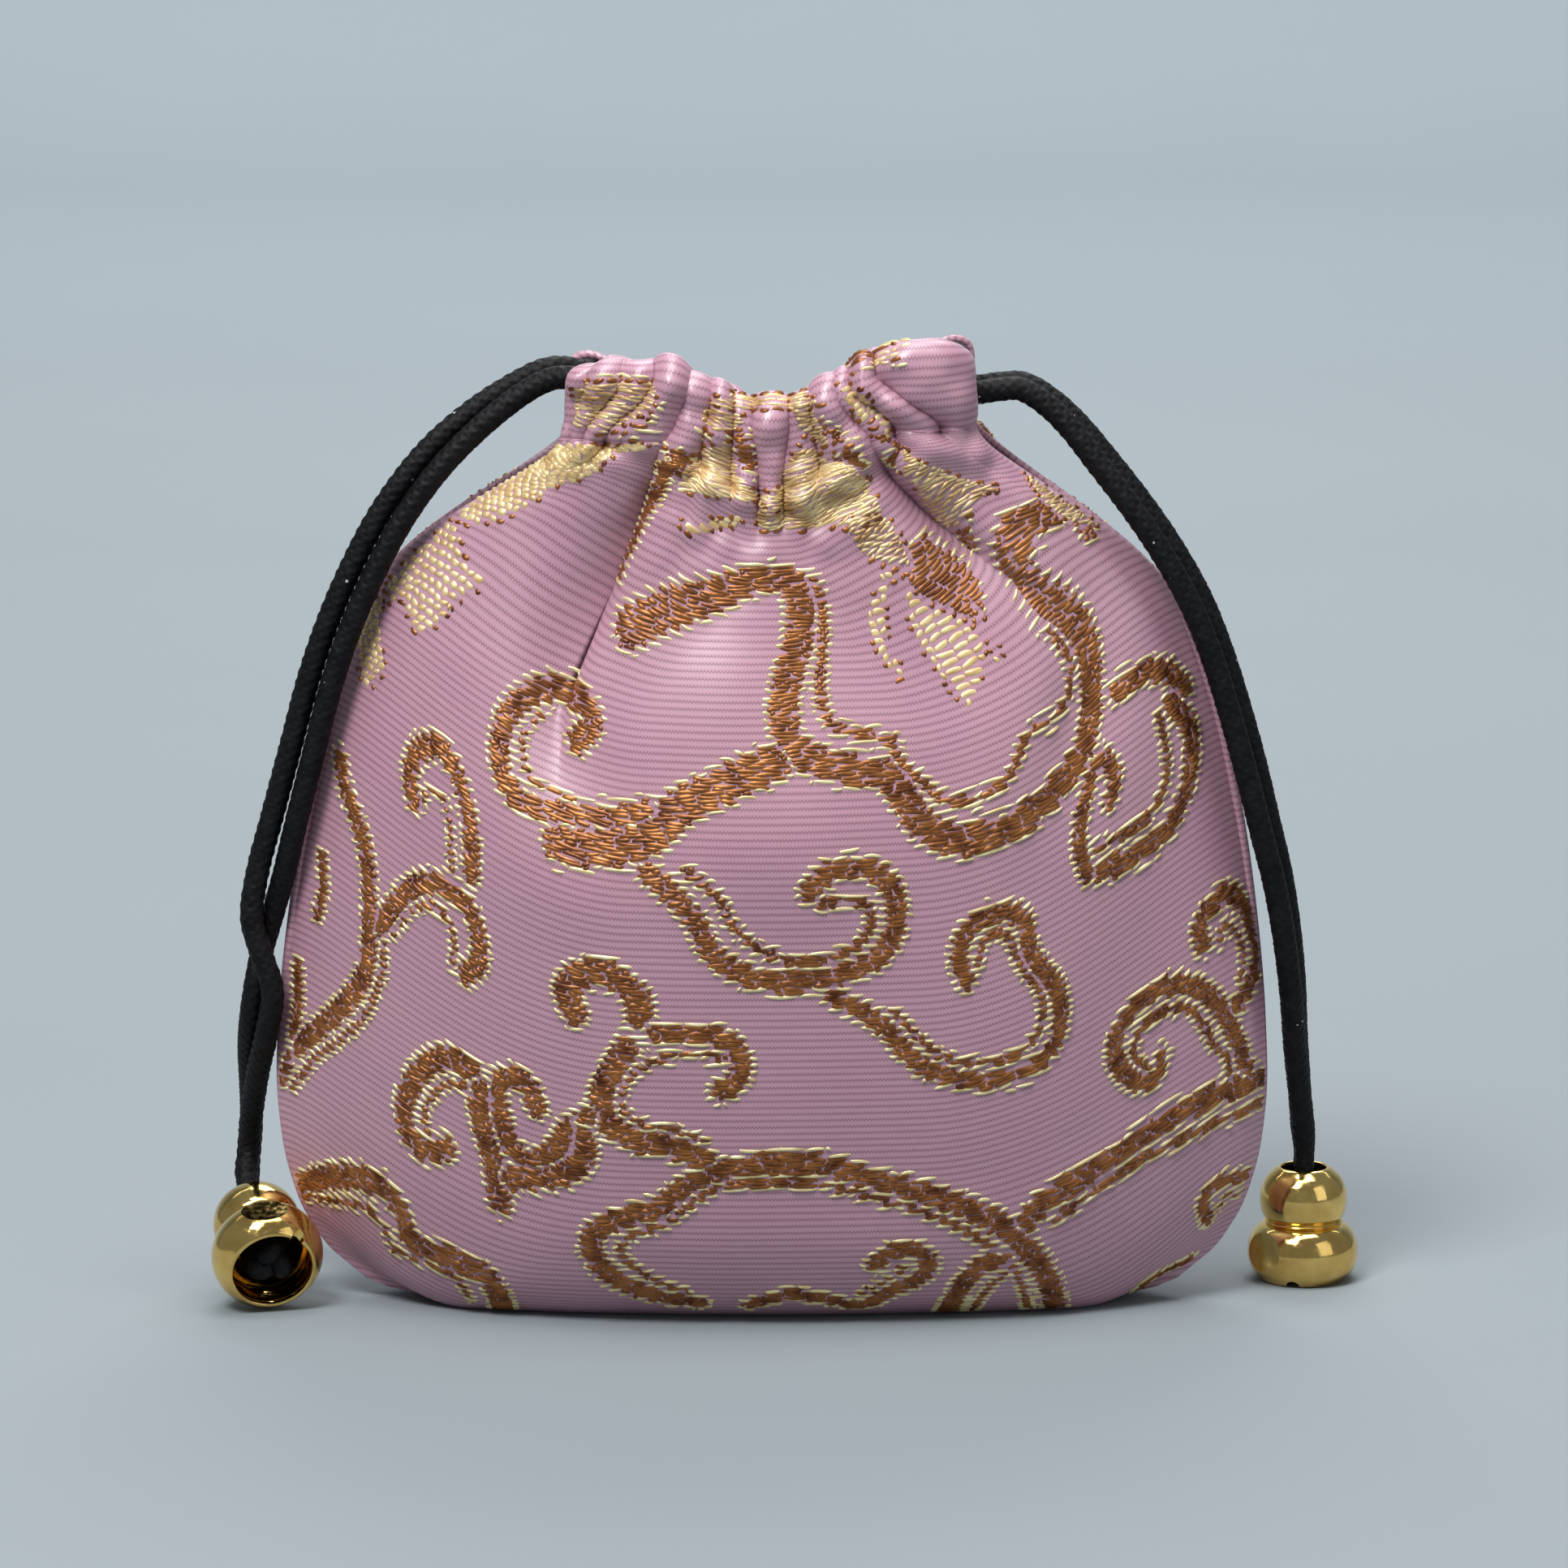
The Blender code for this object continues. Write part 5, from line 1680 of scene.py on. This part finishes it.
            points.append(np.stack(strips, 2))
            flats.append(np.stack(flat, 2))
        points = np.concatenate(points) * MM
        flats = np.concatenate(flats) * MM
        keep = points[:, :, 1, 2].min(axis=1) > self.floor_gap * MM
        if self.panel.face is Face.BACK:
            points, flats = points[:, ::-1], flats[:, ::-1]
        return strips_mesh(points[keep], flats[keep], f"{self.panel.face.value}_{yarn.value}_floats")

    def dress(self, finishes: dict) -> list:
        """Give each yarn its finish and its place in the frame.

        Args:
            finishes: Finish of each yarn.

        Returns:
            The pieces.
        """
        for yarn, piece in self.pieces:
            piece.data.materials.append(finishes[yarn].make())
            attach(piece, "pouch")
        return [piece for _, piece in self.pieces]


BEAD_TOP = 12.5
BEAD_BALL = 6.05
BEAD_BALL_HEIGHT = 3.1
KNOT_START = 0.35
KNOT_LENGTH = 4.9
KNOT_GAP = 0.3
KNOT_END = KNOT_START + KNOT_LENGTH + KNOT_GAP
UPPER_LANE = 6.25
LOWER_LANE = 2.95


@dataclass(frozen=True)
class BeadPlace:
    """Where a bead lies: its open end, its axis and its dish, in metres."""

    place: Vector
    axis: Vector
    dish: Vector

    def matrix(self) -> Matrix:
        """Place the bead: origin at the open end, Z along the axis, X to the dish.

        Returns:
            The placement.
        """
        side = (self.dish - self.axis * self.dish.dot(self.axis)).normalized()
        result = Matrix((side, self.axis.cross(side), self.axis)).transposed().to_4x4()
        result.translation = self.place
        return result


LEFT_AXIS = Vector((-0.24, 0.908, 0.343)).normalized()
LEFT_BALL = Vector((-54.3, -6.2, 6.12))
LEFT_BEAD = BeadPlace(LEFT_BALL * MM - LEFT_AXIS * BEAD_BALL_HEIGHT * MM, LEFT_AXIS,
                      Vector((0.0, -0.348, 0.934)))
RIGHT_DISH = math.radians(54)
RIGHT_BEAD = BeadPlace(Vector((58.0, 7.7, 0.05)) * MM, Vector((0.0, 0.0, 1.0)),
                       Vector((-math.sin(RIGHT_DISH), -math.cos(RIGHT_DISH), 0.0)))

LEFT_STATIONS = (
    (-20.2, 0.0, 100.8, 270), (-21.9, 0.0, 101.0, 265), (-23.9, -0.1, 100.8, 258),
    (-26.8, -0.5, 99.4, 250), (-30.9, -1.4, 96.6, 235), (-35.2, -2.5, 92.8, 222),
    (-38.8, -3.2, 88.4, 215), (-41.9, -3.5, 83.4, 210), (-45.3, -3.6, 76.2, 208),
    (-47.9, -3.5, 69.0, 206), (-50.1, -3.2, 60.9, 204), (-52.2, -2.7, 53.0, 198),
    (-53.7, -2.1, 47.2, 180), (-54.7, -1.6, 42.5, 140), (-54.8, -1.4, 38.5, 90),
    (-54.6, -2.0, 34.5, 45), (-55.3, -0.9, 30.0, 45), (-56.0, 1.9, 26.0, 60),
    (-56.4, 4.6, 22.4, 75), (-56.7, 6.8, 18.9, 86), (-56.9, 8.0, 15.9, 90), (-57.1, 7.9, 13.6, 90),
    (-57.2, 6.7, 11.7, 90))
RIGHT_STATIONS = (
    (20.2, 0.0, 99.3, 270), (21.9, 0.0, 99.2, 270), (23.9, -0.2, 99.5, 272), (26.6, -0.5, 99.6, 275),
    (29.4, -1.0, 98.0, 280), (32.1, -1.7, 95.5, 285), (35.0, -2.5, 92.0, 290), (38.7, -3.3, 87.3, 292),
    (42.0, -3.7, 82.5, 294), (45.0, -3.9, 77.2, 295), (47.3, -3.9, 71.6, 295), (49.3, -3.8, 65.4, 295),
    (51.1, -3.7, 59.0, 295), (52.7, -3.4, 52.6, 293), (54.2, -2.7, 46.6, 290), (55.3, -1.8, 40.4, 286),
    (56.1, 0.1, 34.0, 282), (56.6, 2.5, 28.0, 278), (57.2, 4.9, 22.6, 274), (57.7, 6.8, 18.0, 270))
EXIT_SPACINGS = (2.7, 2.2, 1.75, 1.5)
HEM_SHARES = (-1, -0.93, -0.86, -0.79, -0.70, -0.4, 0, 0.4, 0.70, 0.79, 0.86, 0.93, 1)


@dataclass
class Drawstring:
    """One braided drawstring, in millimetres: two free legs and the run inside both hems.

    Stations give the middle between both legs, and the angle at which one leg lies beside the other.
    """

    side: str
    stations: tuple
    bead: BeadPlace
    lane: float
    shape: PouchShape
    radius: float = 1.25
    plait: float = 1.25
    relief: float = 0.13
    around: int = 30
    step: float = 0.16
    smooth: int = 12
    free_spacing: float = 1.4
    mouth_spacing: float = 1.3
    hole_spacing: float = 1.12
    turn_in: float = 0.9
    squeeze: float = 0.16
    squeeze_start: float = 8.4
    squeeze_length: float = 3.0

    def legs(self) -> tuple:
        """Lay both legs side by side from the slit to the knot.

        Returns:
            The control points of the leg from the front hem and of the leg from the back hem.
        """
        matrix = self.bead.matrix()
        turn = matrix.to_3x3()
        if self.side == "left":
            across = Vector((1, 0, 0))
        else:
            across = turn.inverted() @ Vector((0, 1, 0))
        heights = (BEAD_TOP + 2.0, BEAD_TOP + 0.667, BEAD_TOP - 0.667, (BEAD_TOP + KNOT_END) / 2, KNOT_END)
        centres = [Vector(station[:3]) for station in self.stations]
        centres += [(matrix @ Vector((0, 0, height * MM))) / MM for height in heights]
        back, front = [], []
        for index, centre in enumerate(centres):
            if index < len(self.stations):
                ahead = centres[index + 1] - centres[max(index - 1, 0)]
                side = Vector((-ahead.z, 0.0, ahead.x)).normalized()
                forward = ahead.normalized().cross(side)
                angle = math.radians(self.stations[index][3])
                spacing = EXIT_SPACINGS[index] if index < len(EXIT_SPACINGS) else self.free_spacing
                offset = (side * math.cos(angle) + forward * math.sin(angle)) * spacing
            else:
                spacing = self.mouth_spacing if index == len(self.stations) else self.hole_spacing
                offset = turn @ across * spacing
            back.append(centre + offset)
            front.append(centre - offset)
        return front, back

    def hem_run(self, face: Face) -> list:
        """Lay the cord inside one hem.

        Args:
            face: The panel of the hem.

        Returns:
            The control points, from the left end to the right end.
        """
        share = np.array(HEM_SHARES)
        ring = self.shape.ring(share)[0]
        tall = self.shape.level(share, np.full_like(share, self.shape.top), face) + self.lane
        sign = -1 if face is Face.BACK else 1
        return [Vector((x, sign * y, z)) for (x, y), z in zip(ring, tall)]

    def route(self) -> tuple:
        """Join the legs and the runs inside both hems.

        Returns:
            Close points of the whole cord, where the first leg ends and where the last one starts.
        """
        front, back = self.hem_run(Face.FRONT), self.hem_run(Face.BACK)
        near = -1 if self.side == "left" else 1
        if near > 0:
            front, back = front[::-1], back[::-1]
        turn = Vector((front[-1].x - near * self.turn_in, 0.0, (front[-1].z + back[-1].z) / 2))
        leg_front, leg_back = self.legs()
        points = leg_front[::-1] + front + [turn] + back[::-1] + leg_back
        dense = catmull(np.array([tuple(point) for point in points]), self.smooth)
        return dense, self.smooth * (len(leg_front) - 1), self.smooth * (len(points) - len(leg_back))

    def tube(self, name: str, line: np.ndarray, squeezed: bool) -> bpy.types.Object:
        """Build one braided tube.

        Args:
            name: Name of the piece.
            line: Close points of its centreline, in millimetres.
            squeezed: Whether its last stretch is pressed into the bead's hole.

        Returns:
            The new object.
        """
        centre = even_steps(line, self.step)
        ahead = np.gradient(centre, axis=0)
        ahead /= np.linalg.norm(ahead, axis=1, keepdims=True)
        side = np.zeros_like(centre)
        last = np.cross(ahead[0], (0.3, 0.9, 0.1))
        for index, direction in enumerate(ahead):
            last = last - direction * last.dot(direction)
            last /= np.linalg.norm(last)
            side[index] = last
        over = np.cross(ahead, side)
        run = np.arange(len(centre)) * self.step
        angle = np.linspace(0, 2 * math.pi, self.around + 1)
        turn = 3 * angle[None, :]
        pitch = math.pi * run[:, None] / self.plait
        one, two = np.abs(np.cos(turn + pitch)), np.abs(np.cos(turn - pitch))
        weave = np.sin(turn) * np.sin(pitch)
        bulge = np.maximum(one * (0.9 + 0.1 * weave), two * (0.9 - 0.1 * weave))
        radius = self.radius - self.relief + self.relief * 1.5 * bulge ** 2
        if squeezed:
            left = (len(centre) - 1 - np.arange(len(centre))) * self.step
            full = smooth_step((left - self.squeeze_start) / self.squeeze_length)
            radius = radius * (1 - self.squeeze + self.squeeze * full)[:, None]
        return grid_mesh(cord_rings(centre, side, over, angle, radius) * MM, name, roll=True)

    def build(self) -> list:
        """Build both legs and the run inside the hems.

        Returns:
            The pieces.
        """
        dense, first, last = self.route()
        front, middle, back = dense[:first + 1][::-1], dense[first:last + 1], dense[last:]
        self.lines = {}
        self.pieces = []
        for label, line in (("front_leg", front), ("back_leg", back), ("hem_run", middle)):
            name = f"{self.side}_cord_{label}"
            self.lines[name] = line
            self.pieces.append(self.tube(name, line, squeezed=line is not middle))
        return self.pieces

    def dress(self, finish: BraidedCord, bead: bpy.types.Object, knot: bpy.types.Object) -> None:
        """Colour the cord and attach its pieces to the pouch.

        Args:
            finish: Finish of the cord.
            bead: The bead on the legs' far end; not used.
            knot: The knot inside the bead; not used.
        """
        material = finish.make()
        for piece in self.pieces:
            piece.data.materials.append(material)
            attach(piece, "pouch")
            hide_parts(f"cord_{self.side}")


@dataclass
class GourdBead:
    """Hollow gilt bead, in millimetres: a ball with a dish, a ringed waist and a smaller ball."""

    name: str
    place: BeadPlace
    body: str
    segments: int = 120
    sharp: float = math.radians(24)
    ball: float = 20.0
    dish: float = 2.6
    dish_lift: float = 0.12
    notch: float = 0.75
    notch_length: float = 3.0
    notch_place: tuple = (4.9, 0.0, 0.05)
    notch_turn: float = math.radians(38)
    outer: tuple = ((4.36, 0.06), (4.45, 0.0), (4.70, 0.06), (4.95, 0.33), (5.30, 0.75), (5.62, 1.25),
                    (5.86, 1.8), (6.00, 2.4), (BEAD_BALL, BEAD_BALL_HEIGHT), (6.01, 3.7), (5.88, 4.3),
                    (5.66, 4.9), (5.33, 5.45), (4.92, 5.90),
                    (4.55, 6.15), (4.22, 6.28), (4.10, 6.36), (4.22, 6.44), (4.32, 6.54), (4.22, 6.64),
                    (4.08, 6.72), (4.18, 6.84), (4.42, 7.15), (4.60, 7.7), (4.72, 8.3), (4.76, 8.9),
                    (4.73, 9.5),
                    (4.62, 10.1), (4.42, 10.7), (4.12, 11.25), (3.72, 11.75), (3.25, 12.15), (2.95, 12.38),
                    (2.66, 12.48), (2.50, 12.42), (2.45, 12.25))
    inner: tuple = ((2.45, 11.9), (2.60, 11.6), (3.10, 11.2), (3.60, 10.2), (3.75, 9.2), (3.60, 8.2),
                    (3.05, 7.1), (3.05, 6.2), (4.25, 5.2), (4.85, 4.1), (4.95, 3.1), (4.80, 1.8),
                    (4.40, 0.75), (4.32, 0.3))

    def build(self) -> bpy.types.Object:
        """Turn the section, press the dish and cut the notch.

        Returns:
            The piece.
        """
        section = catmull(np.array(self.outer + self.inner + self.outer[:1]), 3)[:-1] * MM
        work = bmesh.new()
        verts = [work.verts.new((radius, 0.0, height)) for radius, height in section]
        edges = [work.edges.new(pair) for pair in zip(verts, verts[1:] + verts[:1])]
        bmesh.ops.spin(work, geom=verts + edges, cent=(0, 0, 0), axis=(0, 0, 1), angle=2 * math.pi,
                       steps=self.segments, use_merge=True)
        bmesh.ops.remove_doubles(work, verts=work.verts, dist=1e-7)
        bead = finish_mesh(work, self.name)
        for cutter in (self.dish_tool(), self.notch_tool()):
            cut = bead.modifiers.new("cut", "BOOLEAN")
            cut.operation, cut.solver, cut.object = "DIFFERENCE", "EXACT", cutter
            graph = bpy.context.evaluated_depsgraph_get()
            mesh = bpy.data.meshes.new_from_object(bead.evaluated_get(graph))
            bead.modifiers.remove(cut)
            bead.data = mesh
            bpy.data.objects.remove(cutter)
        bead.data.transform(self.place.matrix())
        for each in bead.data.polygons:
            each.use_smooth = True
        bead.data.set_sharp_from_angle(angle=self.sharp)
        self.piece = bead
        return bead

    def dish_tool(self) -> bpy.types.Object:
        """Make the cap of the ball that presses the dish.

        Returns:
            The tool.
        """
        ball, dish, lift = self.ball, self.dish, self.dish_lift
        distance = math.sqrt(BEAD_BALL ** 2 - dish ** 2) + math.sqrt(ball ** 2 - dish ** 2)
        work = bmesh.new()
        bmesh.ops.create_uvsphere(work, u_segments=160, v_segments=220, radius=ball * MM)
        far = [vertex for vertex in work.verts if vertex.co.z < (ball - 3.0) * MM]
        bmesh.ops.delete(work, geom=far, context="VERTS")
        bmesh.ops.holes_fill(work, edges=[edge for edge in work.edges if edge.is_boundary], sides=0)
        direction = Vector((math.cos(lift), 0, math.sin(lift)))
        turn = (-direction).to_track_quat("Z", "Y").to_matrix().to_4x4()
        turn.translation = direction * distance * MM + Vector((0, 0, BEAD_BALL_HEIGHT * MM))
        bmesh.ops.transform(work, matrix=turn, verts=work.verts)
        return finish_mesh(work, "dish_tool")

    def notch_tool(self) -> bpy.types.Object:
        """Make the rod that cuts the notch in the open rim.

        Returns:
            The tool.
        """
        work = bmesh.new()
        radius, depth = self.notch * MM, self.notch_length * MM
        bmesh.ops.create_cone(work, cap_ends=True, segments=32, radius1=radius, radius2=radius, depth=depth)
        place = [value * MM for value in self.notch_place]
        turn = Matrix.Rotation(self.notch_turn, 4, "Z") @ Matrix.Translation(place)
        bmesh.ops.transform(work, matrix=turn @ Matrix.Rotation(math.pi / 2, 4, "Y"), verts=work.verts)
        return finish_mesh(work, "notch_tool")

    def dress(self, finish: PolishedBrass, side: str) -> None:
        """Gild the bead and let it turn with its body.

        Args:
            finish: Finish of the bead.
            side: The side that it hangs on.
        """
        self.piece.data.materials.append(finish.make())
        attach(self.piece, self.body)
        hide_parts(f"bead_{side}")


@dataclass
class StopKnot:
    """The knot that holds both cord ends inside a bead, in millimetres."""

    name: str
    place: BeadPlace
    wide: float = 0.60
    tall: float = 1.25
    radius: float = 1.12
    around: int = 24
    plaits: int = 12

    def build(self) -> bpy.types.Object:
        """Bend a cord into an overhand knot.

        Returns:
            The piece.
        """
        turn = np.linspace(0, 2 * math.pi, 161)
        x = self.wide * (np.sin(turn) + 2 * np.sin(2 * turn))
        y = self.wide * (np.cos(turn) - 2 * np.cos(2 * turn))
        z = KNOT_START + KNOT_LENGTH / 2 - self.tall * np.sin(3 * turn)
        centre = np.stack((x, y, z), 1)
        ahead = np.roll(centre[:-1], -1, axis=0) - np.roll(centre[:-1], 1, axis=0)
        ahead = np.vstack((ahead, ahead[:1]))
        ahead /= np.linalg.norm(ahead, axis=1, keepdims=True)
        side = np.cross(ahead, (0.0, 0.0, 1.0))
        side /= np.linalg.norm(side, axis=1, keepdims=True)
        over = np.cross(ahead, side)
        angle = np.linspace(0, 2 * math.pi, self.around + 1)
        pitch = (turn * self.plaits)[:, None]
        bulge = np.maximum(np.abs(np.cos(3 * angle + pitch)), np.abs(np.cos(3 * angle - pitch)))
        radius = self.radius - 0.1 + 0.15 * bulge ** 2
        rings = cord_rings(centre, side, over, angle, radius)
        self.piece = grid_mesh(rings * MM, self.name, roll=True, close=True)
        self.piece.data.transform(self.place.matrix())
        return self.piece

    def dress(self, finish: BraidedCord, side: str) -> None:
        """Colour the knot.

        Args:
            finish: Finish of the knot.
            side: The side that it hangs on.
        """
        self.piece.data.materials.append(finish.make())
        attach(self.piece, "pouch")
        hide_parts(f"knot_{side}")


def yarn_finishes(face: Face) -> dict:
    """Choose the finish of each yarn of one panel.

    Args:
        face: The panel.

    Returns:
        The finish of each yarn.
    """
    return {
        Yarn.COPPER: FoilThread(f"copper_{face.value}", (0.41, 0.158, 0.042), (0.12, 0.030, 0.007)),
        Yarn.OUTLINE: FoilThread(f"pale_gold_{face.value}", (0.95, 0.85, 0.47), (0.68, 0.52, 0.22), 0.30),
        Yarn.BLOSSOM: FoilThread(f"gold_{face.value}", (0.93, 0.73, 0.38), (0.62, 0.40, 0.16), 0.30),
        Yarn.SATIN: FoilThread(f"gold_satin_{face.value}", (0.95, 0.75, 0.40), (0.50, 0.28, 0.10), 0.30),
        Yarn.STITCH: FoilThread(f"sewing_thread_{face.value}", (0.55, 0.28, 0.40), (0.34, 0.15, 0.22),
                                metal=0.0, rough=0.6)}


PATTERN_REPEAT = 115.0


def main() -> None:
    """Build the studio and the pouch, piece by piece."""
    logging.basicConfig(level=logging.INFO, format="%(message)s")
    studio = Studio()
    studio.place_camera()
    studio.build()
    LOG.info("studio ready")
    shape = PouchShape()
    for side, stations, bead_place, lane in (("left", LEFT_STATIONS, LEFT_BEAD, UPPER_LANE),
                                             ("right", RIGHT_STATIONS, RIGHT_BEAD, LOWER_LANE)):
        bead = GourdBead(f"{side}_gilt_bead", bead_place, f"{side}_bead")
        bead.build()
        bead.dress(PolishedBrass(f"gilt_{side}"), side)
        knot = StopKnot(f"{side}_stop_knot", bead_place)
        knot.build()
        knot.dress(BraidedCord(f"knot_yarn_{side}"), side)
        cord = Drawstring(side, stations, bead_place, lane, shape)
        cord.build()
        cord.dress(BraidedCord(f"cord_yarn_{side}"), bead.piece, knot.piece)
        LOG.info("%s drawstring, bead and knot ready", side)
    front = Panel(Face.FRONT, FRONT_GATHERS, FRONT_PRESSES)
    back = Panel(Face.BACK, BACK_GATHERS, BACK_PRESSES)
    front.layout()
    back.layout()
    pattern = Pattern(studio, front)
    pattern.draw()
    for panel, drawn in ((front, pattern), (back, pattern.turned(PATTERN_REPEAT))):
        panel.build()
        panel.dress(SilkGround(f"silk_{panel.face.value}"))
        loom = Loom(panel, drawn)
        loom.build()
        floats = loom.dress(yarn_finishes(panel.face))
        LOG.info("%s panel ready: widest row %.1f mm, longest line %.1f mm", panel.face.value,
                 float(np.ptp(panel.across, axis=1).max()), float(panel.height[-1]))
    bpy.context.view_layer.update()


if __name__ == "__main__":
    main()
